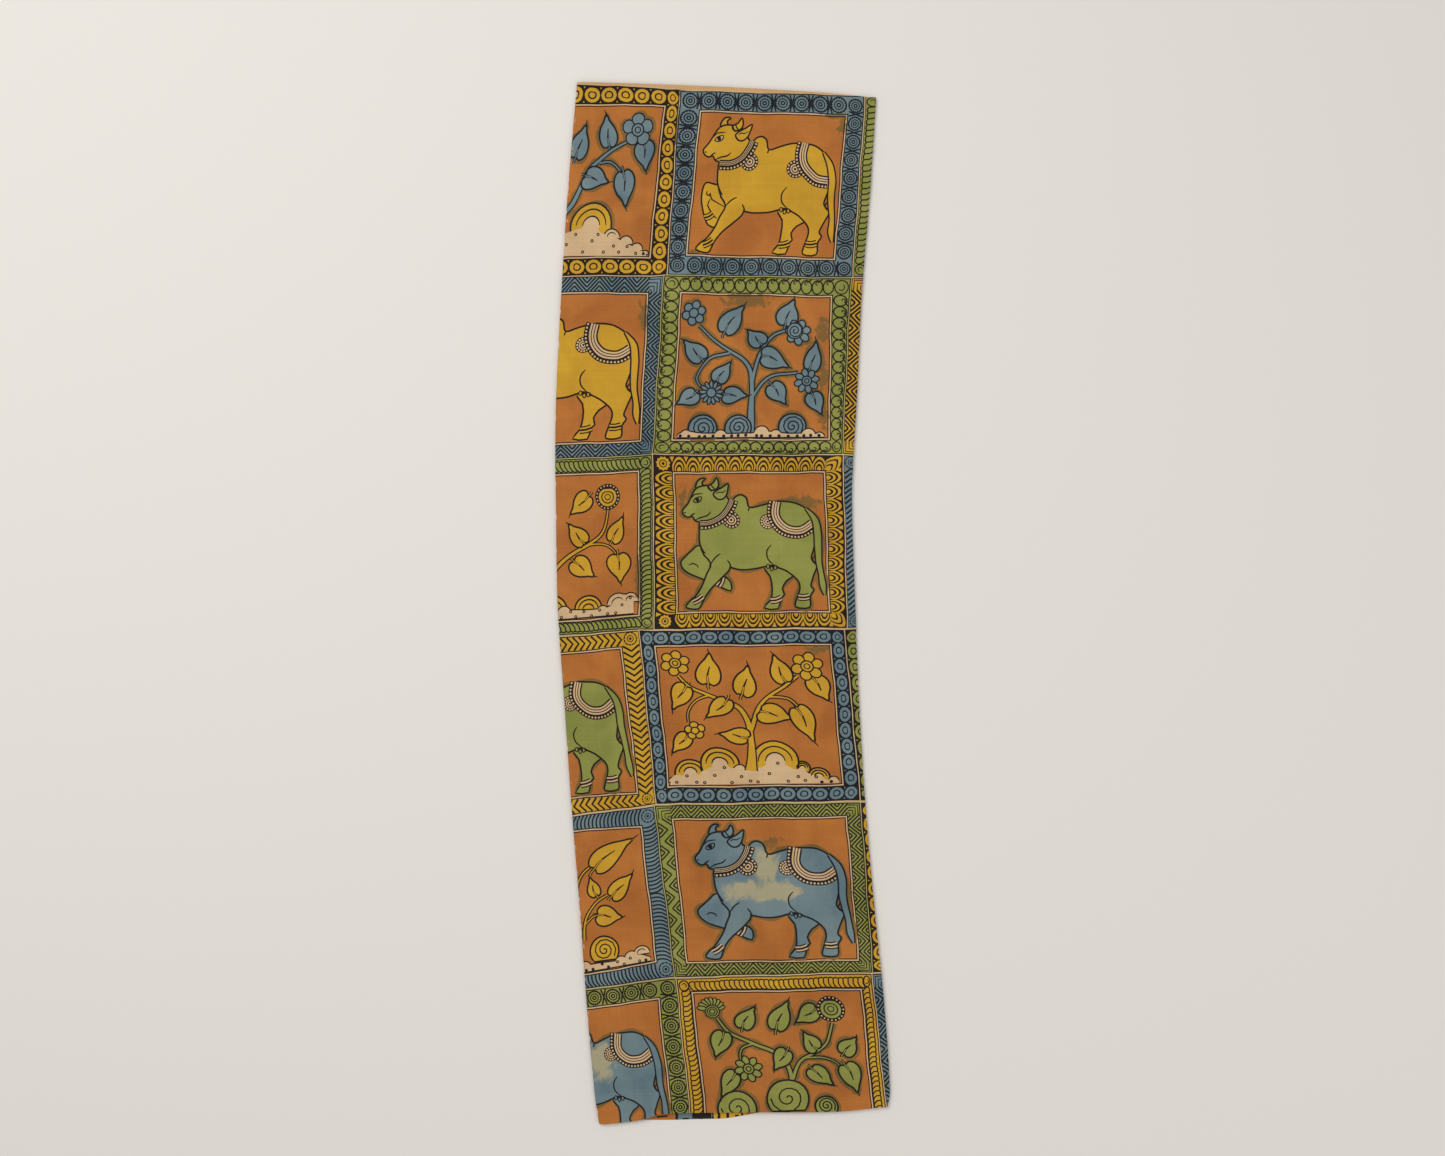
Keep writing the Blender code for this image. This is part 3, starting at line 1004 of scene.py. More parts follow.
SIDE_FLOWER_TREE = grown(
    branches=(
        (8, 6, ((40, 8), (42, 26), (56, 40))),
        (7, 3.8, ((54, 38), (70, 53), (82, 83), (95, 96), (108, 106), (124, 114))),
        (3.6, 3.0, ((95, 93), (108, 94), (119, 84), (123, 72))), (4, 3, ((52, 40), (40, 60), (22, 74))),
    ),
    leaves=(
        (103, 125, 96, 33, 20), (73, 114, 70, 34, 21), (146, 102, -74, 29, 23), (91, 75, -28, 27, 25),
        (126, 68, -76, 36, 23), (30, 104, 120, 32, 20), (20, 50, 200, 28, 20),
    ),
    flowers=((135, 127, 33, 5, "ringed"), (18, 84, 26, 6, "ringed")),
    mounds=((34, 14, 16, "rainbow"), (93, 30, 23, "rainbow")),
    ground=((2, 6), (30, 14), (60, 22), (93, 30), (106, 22), (118, 20), (130, 14), (142, 9), (157, 3)),
    bumps=((117, 18, 9), (133, 12, 8), (146, 6, 7), (156, 2, 4)),
)
SIDE_BEADED_TREE = grown(
    branches=(
        (8, 6, ((44, 4), (46, 28), (60, 46))),
        (6, 3.2, ((58, 44), (76, 60), (92, 71), (107, 78), (119, 86), (125, 97), (127, 114))),
        (3.4, 2.4, ((104, 77), (122, 77), (133, 71), (138, 63))),
        (4, 3, ((56, 44), (44, 66), (30, 80))),
    ),
    leaves=(
        (96, 121, 218, 28, 21), (94, 89, 126, 27, 20), (139, 90, 56, 28, 19), (98, 52, -44, 28, 24),
        (139, 51, -88, 30, 27), (40, 112, 100, 30, 21), (24, 58, 210, 28, 20),
    ),
    flowers=((127, 127, 28, 0, "beaded"), (22, 88, 26, 6, "plain")),
    mounds=((105, 9, 15, "arcs"), (64, 8, 18, "arcs"), (24, 8, 14, "arcs")),
    ground=((2, 6), (60, 9), (92, 10), (118, 9), (130, 12), (136, 22), (146, 22), (156, 20)),
    bumps=((78, 6, 8), (121, 5, 7), (138, 12, 12), (152, 14, 9)),
)
SIDE_LONG_LEAF_TREE = grown(
    branches=(
        (8, 5, ((66, 4), (68, 26), (76, 44))), (4.6, 3.2, ((74, 42), (78, 72), (88, 101), (104, 113))),
        (4.2, 3, ((86, 34), (90, 57), (102, 72), (116, 80))),
        (3.4, 2.8, ((88, 50), (98, 58), (106, 58))), (4, 3, ((72, 40), (54, 60), (34, 70))),
    ),
    leaves=(
        (124, 126, 43, 54, 25), (101, 89, 112, 21, 15), (134, 86, 32, 34, 20), (115, 56, -14, 28, 23),
        (44, 96, 110, 36, 22), (26, 56, 210, 28, 20),
    ),
    flowers=((28, 124, 26, 6, "ringed"),),
    mounds=((107, 20, 16, "spiral"), (40, 12, 15, "spiral")),
    ground=((2, 5), (60, 7), (90, 8), (116, 8), (134, 9), (146, 10), (157, 5)),
    bumps=((84, 5, 7), (124, 5, 7), (136, 7, 8), (148, 10, 9)),
)


def on_leaf(leaf, points):
    """Puts points of a leaf, given along its length, on its bent middle line."""
    points = np.asarray(points, float)
    bend = 0.24 * math.sin(leaf.x + 3 * leaf.y) / leaf.length
    bent = points[:, 1] + bend * (points[:, 0] + leaf.length / 2) ** 2
    return moved(np.stack([points[:, 0], bent], axis=1), leaf.x, leaf.y, leaf.turn)


def draw_stalk(pen, leaf, dye):
    length = leaf.length
    stalk = [(-0.64 * length, -0.8), (-0.56 * length, 0.3), (-0.42 * length, 0.0)]
    stalk = on_leaf(leaf, smooth(stalk, 2))
    pen.stroke(stalk, 3.2)
    pen.stroke(stalk, 0.9, dye)


BLADE = np.array([
    (-0.44, 0.00), (-0.50, 0.22), (-0.38, 0.44), (-0.14, 0.52), (0.12, 0.40), (0.34, 0.16),
    (0.56, -0.02), (0.34, -0.14), (0.12, -0.36), (-0.14, -0.48), (-0.38, -0.42), (-0.50, -0.20),
])


def draw_leaf(pen, leaf, dye):
    """A heart-shaped blade with a pointed tip and a short vein."""
    shape = BLADE * (leaf.length, leaf.width)
    length = leaf.length
    pen.blob(on_leaf(leaf, smooth(shape, 2, True)), dye)
    tip = [(0.46 * length, -0.2), (0.60 * length, 0.3), (0.68 * length, 1.0)]
    pen.stroke(on_leaf(leaf, tip), 1.2, pen.ink, ends=0.6)
    vein = on_leaf(leaf, smooth([(-0.46 * length, 0.0), (-0.2 * length, 1.2), (0.1 * length, -0.4)], 2))
    pen.stroke(vein, np.linspace(3.0, 1.0, len(vein)), pen.ink)
    pen.stroke(vein[:3], 1.0, dye)


def coil(x, y, radius, turns, sign=1):
    """A spiral out from its middle."""
    reach = (radius * turns / turns[-1])[:, None]
    return np.array([x, y]) + reach * np.stack([sign * np.cos(turns), np.sin(turns)], axis=1)


def draw_flower(pen, flower, dye):
    """A flower with round petals, or a fan-shaped bud, or a disc with a ring of beads."""
    x, y, size, petals, centre = flower
    if centre == "beaded":
        pen.disc(x, y, size / 2, 20, pen.ink)
        pen.beads(ellipse(x, y, size * 0.43, points=20), 0.95, 5)

        def ring(share):
            return heart(x, y, size * share, size * share, 270, 0.16)

        nested(pen, ring, (0.36, 0.26, 0.21, 0.13, 0.09), dye)
        return
    if centre == "bud":
        for i in range(9):
            angle = math.radians(12 + 19.5 * i)
            tip = (x + size * 0.33 * math.cos(angle), y + size * 0.33 * math.sin(angle))
            pen.blob(ellipse(*tip, size * 0.19, size * 0.09, math.degrees(angle), 9), dye, 1.3)
        for share in (0.26, 0.18, 0.10):
            pen.blob(ellipse(x + 1, y - size * 0.06, size * share, points=10), dye, 1.2)
        return
    wide = min(0.215, 1.1 / petals)
    reach = 0.5 - 0.17
    for i in range(petals):
        angle = 360 * (i + 0.3) / petals
        tip_x = x + size * reach * math.cos(math.radians(angle))
        tip_y = y + size * reach * math.sin(math.radians(angle))
        pen.blob(ellipse(tip_x, tip_y, size * 0.19, size * wide, angle, 10), dye, 1.5)
    radius = size * (0.20 if centre != "spiral" else 0.32)
    if centre == "spiral":
        x, y = x - size * 0.12, y + size * 0.06
    pen.blob(ellipse(x, y, radius, points=12), dye, 1.5)
    if centre == "ringed":
        pen.blob(ellipse(x, y, radius * 0.48, points=8), dye, 1.2)
    elif centre == "spiral":
        pen.stroke(coil(x, y, radius, np.linspace(1.0, 4.6 * math.pi, 20)), 1.3)


WIDE_MOUND = 18
MOUND_STARTS = {"spiral": -40, "rainbow": -35, "arcs": -4}
MOUND_ARCS = (0.73, 0.42)


def draw_mound(pen, mound, dye):
    """A half round mound of nested arcs, with a cream core or with a spiral."""
    x, y, radius, kind = mound
    low = MOUND_STARTS[kind]
    pen.blob(ellipse(x, y, radius, points=18, start=low, end=180 - low), dye)
    if kind == "spiral":
        turns = np.linspace(0.5, (5.2 if radius < WIDE_MOUND else 4.0) * math.pi, 26)
        pen.stroke(coil(x, y + 1, radius * 0.82, turns, -1), 1.5)
        return
    if kind == "rainbow":
        pen.fill(ellipse(x, y, radius * 0.42, points=12, start=-20, end=200), "cream")
    for share in MOUND_ARCS:
        pen.stroke(ellipse(x, y, radius * share, points=14, start=2, end=178), 1.6, ends=0.6)


def draw_ground(pen, tree):
    """Cream ground with a scalloped top."""
    if not tree.ground:
        return
    top = smooth(tree.ground, 3)
    flat_ground = tree.mounds[0].kind != "rainbow"
    scallops = [ellipse(x, y, radius, start=-5, end=185) for x, y, radius in tree.bumps]
    body = np.vstack([[(top[0][0], 0.3)], top, [(top[-1][0], 0.3)]])
    if flat_ground:
        pen.union(scallops + [body], "cream", 1.4)
    else:
        pen.union(scallops, "cream", 1.4)
        pen.fill(body, "cream")
    for x, y, radius in tree.bumps:
        if radius > 8:
            pen.stroke(ellipse(x, y, radius * 0.6, points=9, start=40, end=175), 1.2, ends=0.5)


def draw_dots(pen, tree, rng):
    """Dots in rows on the ground, more of them where it is high."""
    heights = np.array(tree.ground or ((0, 0), (1, 0)), float)
    for i, x in enumerate(np.arange(8, 155, 8.5)):
        height = float(np.interp(x, heights[:, 0], heights[:, 1]))
        rows = (0.30,) if height < 8 else (0.25, 0.8) if height < 16 else (0.15, 0.5, 0.85)
        share = rows[i % len(rows)]
        if height > 3:
            spot = (x + rng.uniform(-2, 2), max(2.4, height * share))
            pen.disc(*spot, 1.8, 8, pen.ink)
            if height > 8:
                pen.disc(*spot, 0.7, 5, "cream")


def branch_widths(branch, path):
    """Widths of the dyed part of a branch along its path."""
    return 0.85 * np.linspace(branch.start, branch.end, len(path)) - 1.5


def draw_tree(pen, cell, rng):
    tree, dye = cell.picture, cell.picture_dye
    for mound in tree.mounds:
        if mound.kind != "spiral":
            draw_mound(pen, mound, cell.mound_dye)
    hilly = tree.mounds[0].kind == "rainbow"
    if hilly:
        draw_ground(pen, tree)
        draw_dots(pen, tree, rng)
        for mound in tree.mounds:
            for share in MOUND_ARCS:
                arc = ellipse(mound.x, mound.y, mound.radius * share, points=14, start=8, end=172)
                pen.stroke(arc, 1.6, ends=0.6)
    for leaf in tree.leaves:
        draw_stalk(pen, leaf, dye)
    paths = [(smooth(branch.points, 4), branch) for branch in tree.branches]
    for path, branch in paths:
        pen.stroke(path, branch_widths(branch, path) + 2.8)
    for path, branch in paths:
        pen.stroke(path, branch_widths(branch, path), dye)
    for mound in tree.mounds:
        if mound.kind == "spiral":
            draw_mound(pen, mound, cell.mound_dye)
    if not hilly:
        draw_ground(pen, tree)
        draw_dots(pen, tree, rng)
    for leaf in tree.leaves:
        draw_leaf(pen, leaf, dye)
    for flower in tree.flowers:
        draw_flower(pen, flower, dye)


# The grid of squares. Corners of each square and of its picture, in millimetres of the flat cloth

Quad = namedtuple("Quad", "high_left high_right low_left low_right")


def paired(table):
    """Every two rows of a table together: a square's own corners and its picture's."""
    return tuple(zip(table[::2], table[1::2]))


MIDDLE_SQUARES = paired(rows(Quad, (
    ((-46.4, 559.1), (155.6, 553.6), (-60.6, 357.6), (141.4, 354.9)),
    ((-22.4, 534.5), (132.7, 530.2), (-37.1, 381.4), (120.4, 377.1)),
    ((-63.9, 357.6), (139.8, 354.4), (-75.9, 162.2), (130.2, 162.2)),
    ((-43.4, 336.6), (116.8, 332.7), (-53.3, 179.9), (114.1, 180.7)),
    ((-75.6, 162.2), (131, 161.6), (-74, -28.1), (135.7, -26.5)),
    ((-51.1, 140.6), (109.5, 141.2), (-47.8, -8), (114.1, -7.1)),
    ((-90.6, -29.2), (132.7, -27.8), (-72.1, -218.7), (150.2, -215.1)),
    ((-71.5, -48), (116.3, -46.4), (-57, -198.2), (128.9, -196)),
    ((-74.3, -220), (150.2, -216.8), (-51.8, -407.3), (163.6, -401.6)),
    ((-52.4, -237.3), (133.2, -234.6), (-36.9, -389.3), (146, -386.6)),
    ((-50.7, -408.4), (162.7, -402.4), (-30.6, -594.6), (182.4, -592.4)),
    ((-31.4, -425.7), (149.6, -422.1), (-13.7, -579.3), (163.8, -576)),
)))
LEFT_SQUARES = paired(rows(Quad, (
    ((-251.4, 571), (-46, 560.5), (-265.6, 356), (-60.6, 357.6)),
    ((-220.4, 542.5), (-65.2, 540.6), (-236.2, 377.6), (-81, 379.2)),
    ((-268.9, 355.4), (-63.9, 357.3), (-280.9, 151.6), (-75.9, 162.2)),
    ((-252.6, 336.3), (-83.3, 336.3), (-260.8, 171.7), (-91.5, 178.9)),
    ((-280.5, 151.6), (-75.6, 161.9), (-279, -41.4), (-74, -28.1)),
    ((-249.5, 134), (-93.4, 142.2), (-248.6, -23.4), (-92.5, -11.7)),
    ((-295.6, -45.5), (-90.6, -29.5), (-277, -245.6), (-72.1, -218.7)),
    ((-265.4, -64.1), (-112.5, -50.8), (-247.1, -216.2), (-94.2, -204.5)),
    ((-279.2, -246.2), (-74.3, -220.6), (-256.7, -434.2), (-51.8, -407.3)),
    ((-246.8, -256.6), (-90.6, -244.6), (-230.4, -416.6), (-74.3, -389.3)),
    ((-255.6, -434.8), (-50.7, -408.2), (-235.5, -622.2), (-30.6, -594.6)),
    ((-224.4, -453.3), (-71.5, -433), (-207.8, -599.2), (-54.9, -579.3)),
)))
COLUMN_WIDTH = 205.0
RIGHT_INSET = np.array([20, 18])
FARTHEST_SHIFT = np.array([-2 * COLUMN_WIDTH, -12.0])

# Columns left of the middle one: the left one, and two more on the bottom layer
LEFT, HIDDEN, FARTHEST = -1, -2, -3
Cell = namedtuple(
    "Cell", "band pitch dye picture picture_dye mound_dye tucked outer inner", defaults=(None,) * 6
)
LEFT_CELLS = rows(Cell, (
    ("beads", 18.8, "yellow", SIDE_FLOWER_TREE, "blue", "yellow"),
    ("zigzag", 3.1, "blue", "cow", "yellow"),
    ("leaves", 5.2, "green", SIDE_BEADED_TREE, "yellow", "yellow"),
    ("herringbone", 6.7, "yellow", "cow", "green"),
    ("scales", 4.2, "blue", SIDE_LONG_LEAF_TREE, "yellow", "yellow"),
    ("rosettes", 21.5, "green", "cow", "blue"),
))
MIDDLE_CELLS = rows(Cell, (
    ("rosettes", 20.0, "blue", "cow", "yellow", None, True),
    ("commas", 12.2, "green", SPREADING_TREE, "blue", "blue"),
    ("arches", 15.8, "yellow", "cow", "green"), ("beads", 18.0, "blue", HILL_TREE, "yellow", "yellow"),
    ("zigzag", 3.1, "green", "cow", "blue"), ("rope", 5.4, "yellow", BUDDING_TREE, "green", "green"),
))
RIGHT_CELLS = rows(Cell, (
    ("leaves", 6.4, "green"), ("zigzag", 3.5, "yellow"), ("herringbone", 5.6, "blue"),
    ("beads", 17.0, "green"), ("beads", 17.0, "yellow"), ("zigzag", 3.5, "blue"),
))


def squares_at(row, column):
    """The corners of a square and of its picture, where column 0 is the middle one."""
    if column > 0:
        known = MIDDLE_SQUARES[row][0]
        low, high = np.array(known.low_right), np.array(known.high_right)
        aside = np.array([COLUMN_WIDTH, 0.0])
        outer = (low, low + aside, high, high + aside)
        outwards, down = RIGHT_INSET * (-1, 1), RIGHT_INSET * (1, -1)
        inner = (low + RIGHT_INSET, low + aside + outwards, high + down, high + aside - RIGHT_INSET)
    else:
        low = high = np.zeros(2)
        if column == FARTHEST:
            low = high = FARTHEST_SHIFT
        elif column == HIDDEN:
            left, middle = LEFT_SQUARES[row][0], MIDDLE_SQUARES[row][0]
            low = np.array(left.low_left) - middle.low_right
            high = np.array(left.high_left) - middle.high_right
        outer, inner = (
            (quad.low_left + low, quad.low_right + low, quad.high_left + high, quad.high_right + high)
            for quad in (MIDDLE_SQUARES, LEFT_SQUARES)[column % 2][row]
        )
    return [corner * MM for corner in outer], [corner * MM for corner in inner]


SEEDS_PER_COLUMN = 100
PICTURE_SEED = 50


def draw_cell(canvas, row, column, cell):
    """One square of the print. Dye that ran out goes on before the picture itself."""
    seed = SEEDS_PER_COLUMN * (column - FARTHEST + 1) + row
    outer, inner = squares_at(row, column)
    cell = cell._replace(outer=outer, inner=inner)
    ink = "blue_ink" if cell.dye == "blue" else "ink"
    picture = draw_frame(canvas, cell, ink, random.Random(seed))
    scale = np.array([picture.width, picture.height]) / FIELD
    ink = "blue_ink" if cell.picture_dye == "blue" else "ink"
    pen = Pen(canvas, picture, ink, PICTURE_LINE)
    pen = pen.within(lambda points: np.asarray(points, float) * scale)
    ran_out = cell.picture_dye in ("blue", "green") and column > HIDDEN
    for pen.halo in (True, False) if ran_out else (False,):
        rng = random.Random(seed + PICTURE_SEED)
        if cell.picture == "cow":
            draw_cow(pen, cell)
        elif cell.picture:
            draw_tree(pen, cell, rng)


def draw_print(canvas):
    """All squares, where the middle column lies over its neighbours."""
    for row in range(len(MIDDLE_CELLS)):
        for column in (FARTHEST, HIDDEN, LEFT, 1, 0):
            cell = RIGHT_CELLS[row]
            if column <= 0:
                cell = (MIDDLE_CELLS, LEFT_CELLS)[column % 2][row]
            if column == FARTHEST:
                cell = cell._replace(picture=None)
            draw_cell(canvas, row, column, cell)


# What the bottom layer's reverse shows where it peeks out at the lower end, in millimetres
Peek = namedtuple("Peek", "left right low high paint")
PEEKS = rows(Peek, (
    (-86, -50, -572, -540, "orange"), (-50, -12, -572, -540, "blue"), (-12, 28, -572, -540, "ink"),
    (-10, 26, -564, -540, "yellow"), (-52, -49, -572, -540, "ink"), (-33, -12, -563, -556, "ink"),
    (-43, -36, -566, -561, "ink"), (-27, -22, -568, -560, "ink"), (-19, -15, -566, -563, "blue"),
    (-6, -3, -566, -540, "ink"), (4, 7, -567, -540, "ink"), (14, 18, -561, -558, "ink"),
    (20, 22, -566, -540, "ink"), (26, 48, -572, -540, "orange"), (-72, -60, -561, -559, "ink"),
))


def draw_peeking(canvas):
    for peek in PEEKS:
        box = box_outline(peek.left, peek.low, peek.right, peek.high, 7.0)
        box = box + np.stack([0.9 * np.sin(1.3 * box[:, 1]), 0.7 * np.sin(0.9 * box[:, 0])], axis=1)
        x, y = box.T * MM
        canvas.fill(np.stack([under_left(x, y), y], axis=1), peek.paint)


# From shapes to triangles

GRID = 0.009
REVERSE_GRID = 2.5 * GRID
TOP_SLACK = 0.00006
UNDER_SLACK = 0.0003
SLACK_SHARES = (0.25, 0.6, 1.0)
PAST_LEFT_FOLD = 0.004
PAST_RIGHT_FOLD = 0.006
PRINT_NEAR = 1e-7
REVERSE_NEAR = 1e-8

# Places around a fold, as shares of its half turn
FOLD_TURNS = np.linspace(-0.1, 1.1, 9)
ALONG_FOLD = 0.05
NEAR_END = 0.02


def on_top(x, y):
    """Whether places lie on the top layer or just past its folds."""
    left_line, _, right_line, _ = fold_lines(y)
    return (x > left_line - PAST_LEFT_FOLD) & (x < right_line + PAST_RIGHT_FOLD)


def grid_points(outline, spacing):
    """Even points all over the cloth and close ones around its folds, to carry its form."""
    low, high = outline.min(axis=0), outline.max(axis=0)
    xs = np.arange(low[0] + GRID / 2, high[0], spacing)
    ys = np.arange(low[1] + GRID / 2, high[1], spacing)
    grid_x, grid_y = np.meshgrid(xs, ys)
    grid_x = grid_x + np.where(np.arange(len(ys)) % 2, spacing / 4, -spacing / 4)[:, None]
    grid_x, grid_y = grid_x.ravel(), grid_y.ravel()
    coarse = (np.arange(len(grid_x)) % 3 == 0) | on_top(grid_x, grid_y)
    points = [np.stack([grid_x, grid_y], axis=1)[coarse]]
    ys = np.arange(low[1] + GRID / 3, high[1], GRID * 0.8)
    left_line, left_radius, right_line, right_radius = fold_lines(ys)
    for line, radius, sign in ((left_line, left_radius, -1), (right_line, right_radius, 1)):
        for turn in FOLD_TURNS:
            points.append(np.stack([line + sign * turn * math.pi * radius, ys], axis=1))
    return np.vstack(points)


def inside(points, outline):
    """Which points a closed outline goes round."""
    starts, ends = outline, np.roll(outline, -1, axis=0)
    x, y = points[:, :1], points[:, 1:]
    run, rise = (ends - starts).T
    side = run * (y - starts[:, 1]) - (x - starts[:, 0]) * rise
    upward = (starts[:, 1] <= y) & (ends[:, 1] > y) & (side > 0)
    downward = (starts[:, 1] > y) & (ends[:, 1] <= y) & (side < 0)
    return upward.sum(axis=1) != downward.sum(axis=1)


def bent(verts, edges):
    """Splits the edges that cross a fold, so that they can go round it."""
    more, out = [], []
    left_line, left_radius, right_line, right_radius = fold_lines(verts[:, 1])
    ways = (
        ((left_line - verts[:, 0]) / (math.pi * left_radius)).tolist(),
        ((verts[:, 0] - right_line) / (math.pi * right_radius)).tolist(),
    )
    for start, end in edges:
        chain = [start]
        for way in ways:
            a, b = way[start], way[end]
            if max(a, b) <= FOLD_TURNS[0] or min(a, b) >= FOLD_TURNS[-1] or abs(a - b) < ALONG_FOLD:
                continue
            shares = sorted((turn - a) / (b - a) for turn in FOLD_TURNS)
            for share in shares:
                if NEAR_END < share < 1 - NEAR_END:
                    more.append(verts[start] + share * (verts[end] - verts[start]))
                    chain.append(len(verts) + len(more) - 1)
        chain.append(end)
        out += zip(chain[:-1], chain[1:])
    return (np.vstack([verts, more]) if more else verts), out


def triangles_between(points, edges, near):
    """Triangles of the hull of the points, which keep to the given edges."""
    vectors = [Vector((float(x), float(y))) for x, y in points]
    out = delaunay_2d_cdt(vectors, edges, [], 0, near, False)
    return np.array([(v.x, v.y) for v in out[0]]), np.array(out[2])


def painted(canvas, verts, triangles):
    """The triangles in the first shape, and the paint of the last shape over each."""
    own = np.vstack(canvas.points)
    middles = verts[triangles].mean(axis=1)
    order = np.argsort(middles[:, 0])
    triangles, middles = triangles[order], middles[order]
    paints = np.zeros(len(triangles), dtype=int)
    for face, paint in zip(canvas.faces, canvas.paints):
        outline = own[face]
        low, high = outline.min(axis=0), outline.max(axis=0)
        first, last = np.searchsorted(middles[:, 0], (low[0], high[0]))
        near_y = middles[first:last, 1]
        chosen = first + np.nonzero((near_y >= low[1]) & (near_y <= high[1]))[0]
        if len(chosen):
            paints[chosen[inside(middles[chosen], outline)]] = paint
    kept = inside(middles, own[canvas.faces[0]])
    return triangles[kept], paints[kept]


def seen_edges(triangles, paints):
    """The edges where the paint changes or the cloth ends."""
    pairs = np.vstack([triangles[:, [0, 1]], triangles[:, [1, 2]], triangles[:, [2, 0]]])
    pairs.sort(axis=1)
    sides = np.tile(paints, 3)
    order = np.lexsort((pairs[:, 1], pairs[:, 0]))
    pairs, sides = pairs[order], sides[order]
    same = np.all(pairs[1:] == pairs[:-1], axis=1)
    has_twin = np.concatenate([[False], same]) | np.concatenate([same, [False]])
    changes = same & (sides[1:] != sides[:-1])
    return np.vstack([pairs[1:][changes], pairs[~has_twin]])


def straightened(verts, edges):
    """Leaves out the points that lie almost straight between their only two neighbours."""
    neighbours = {}
    for start, end in edges.tolist():
        neighbours.setdefault(start, set()).add(end)
        neighbours.setdefault(end, set()).add(start)
    x, y = verts[:, 0].tolist(), verts[:, 1].tolist()
    slack = np.where(on_top(verts[:, 0], verts[:, 1]), TOP_SLACK, UNDER_SLACK).tolist()
    for share in SLACK_SHARES:
        for point in list(neighbours):
            around = neighbours[point]
            if len(around) != 2:
                continue
            a, b = around
            if b in neighbours[a]:
                continue
            across_x, across_y = x[b] - x[a], y[b] - y[a]
            span = math.hypot(across_x, across_y)
            bend = abs(across_x * (y[point] - y[a]) - across_y * (x[point] - x[a]))
            if 0 < span < 2 * GRID and bend / span < slack[point] * share:
                for one, other in ((a, b), (b, a)):
                    neighbours[one].discard(point)
                    neighbours[one].add(other)
                del neighbours[point]
    used = sorted(neighbours)
    number = {point: i for i, point in enumerate(used)}
    kept = [(number[a], number[b]) for a in used for b in neighbours[a] if a < b]
    return verts[used], kept


def triangulate(canvas, extra, near):
    """Triangles of the painted shapes and their paints. Edges that nobody sees are left out."""
    edges = []
    for face in canvas.faces:
        edges += zip(face, face[1:] + face[:1])
    verts, triangles = triangles_between(np.vstack(canvas.points), edges, near)
    triangles, paints = painted(canvas, verts, triangles)
    verts, edges = straightened(verts, seen_edges(triangles, paints))
    verts, edges = bent(verts, edges)
    verts, triangles = triangles_between(np.vstack([verts, extra]), edges, near)
    triangles, paints = painted(canvas, verts, triangles)
    a, b, c = (verts[triangles[:, k]] for k in range(3))
    area = (b - a)[:, 0] * (c - a)[:, 1] - (b - a)[:, 1] * (c - a)[:, 0]
    triangles = np.where((area < 0)[:, None], triangles[:, ::-1], triangles)
    used = np.unique(triangles)
    renumber = np.zeros(len(verts), dtype=int)
    renumber[used] = np.arange(len(used))
    return verts[used], renumber[triangles], paints


def rim_loop(triangles):
    """The points around the edge of a triangulated sheet, in order."""
    following = {}
    edges = set()
    for corners in triangles.tolist():
        for i in range(3):
            edges.add((corners[i], corners[(i + 1) % 3]))
    for start, end in edges:
        if (end, start) not in edges:
            following[start] = end
    first = min(following)
    loop = [first]
    while following[loop[-1]] != first:
        loop.append(following[loop[-1]])
    return loop


SPOT_FALL = 0.3


def spots(table, verts):
    """How strongly the soft-edged spots of a table mark each place."""
    mark = np.zeros(len(verts))
    for spot in table:
        aside = (verts[:, 0] - spot.x) / spot.across
        off = (verts[:, 1] - spot.y) / spot.up
        mark = np.maximum(mark, np.exp(-SPOT_FALL * (aside**2 + off**2)))
    return mark


def printed_face(outline):
    """The printed face, flat: its points, triangles, paints and marks."""
    canvas = Canvas()
    canvas.fill(outline, "cotton")
    draw_print(canvas)
    verts, triangles, paints = triangulate(canvas, grid_points(outline, GRID), PRINT_NEAR)
    print("shapes", len(canvas.faces), "of", canvas.count, "points; triangles", len(triangles))
    grounds = [PAINT_NAMES.index(name) for name in ("orange", "cream", "pale_green", "olive")]
    stain = spots(BLOTS, verts)[triangles] * np.isin(paints, grounds)[:, None]
    bare = spots(BARE_PATCHES, verts)[triangles] * (paints == PAINT_NAMES.index("blue"))[:, None]
    return verts, triangles, paints, stain, bare


def reverse_face(outline):
    """The plain reverse, flat, with the dye showing through where it peeks out."""
    canvas = Canvas()
    canvas.fill(outline, "cotton")
    draw_peeking(canvas)
    return triangulate(canvas, grid_points(outline, REVERSE_GRID), REVERSE_NEAR)


def build_sheet():
    """The whole cloth as one closed thin sheet, printed face and reverse."""
    verts, triangles, paints, stain, bare = printed_face(cloth_outline())
    loop = rim_loop(triangles)
    back_verts, back_triangles, back_paints = reverse_face(verts[loop])
    back_loop = rim_loop(back_triangles)
    print("rims", len(loop), len(back_loop), "reverse triangles", len(back_triangles))
    tree = KDTree(len(back_loop))
    for i, index in enumerate(back_loop):
        tree.insert((*back_verts[index], 0.0), i)
    tree.balance()
    count = len(verts)
    partner = [back_loop[tree.find((*verts[i], 0.0))[1]] + count for i in loop]
    rim = []
    for i in range(len(loop)):
        following = (i + 1) % len(loop)
        rim.append((loop[following], loop[i], partner[i]))
        if partner[i] != partner[following]:
            rim.append((loop[following], partner[i], partner[following]))
    flat = np.vstack([verts, back_verts])
    side = np.concatenate([np.ones(count), -np.ones(len(back_verts))])
    normals = fold_normals(flat)
    places = fold(flat) + normals * (side * SHEET_THICKNESS / 2)[:, None]
    plain = len(back_triangles) + len(rim)
    return {
        "flat": flat,
        "places": places,
        "normals": normals * side[:, None],
        "triangles": np.vstack([triangles, back_triangles[:, ::-1] + count, np.array(rim)]),
        "paints": np.concatenate([paints, back_paints, np.zeros(len(rim), dtype=int)]),
        "stain": np.vstack([stain, np.zeros((plain, 3))]),
        "bare": np.vstack([bare, np.zeros((plain, 3))]),
        "front_count": len(triangles),
    }


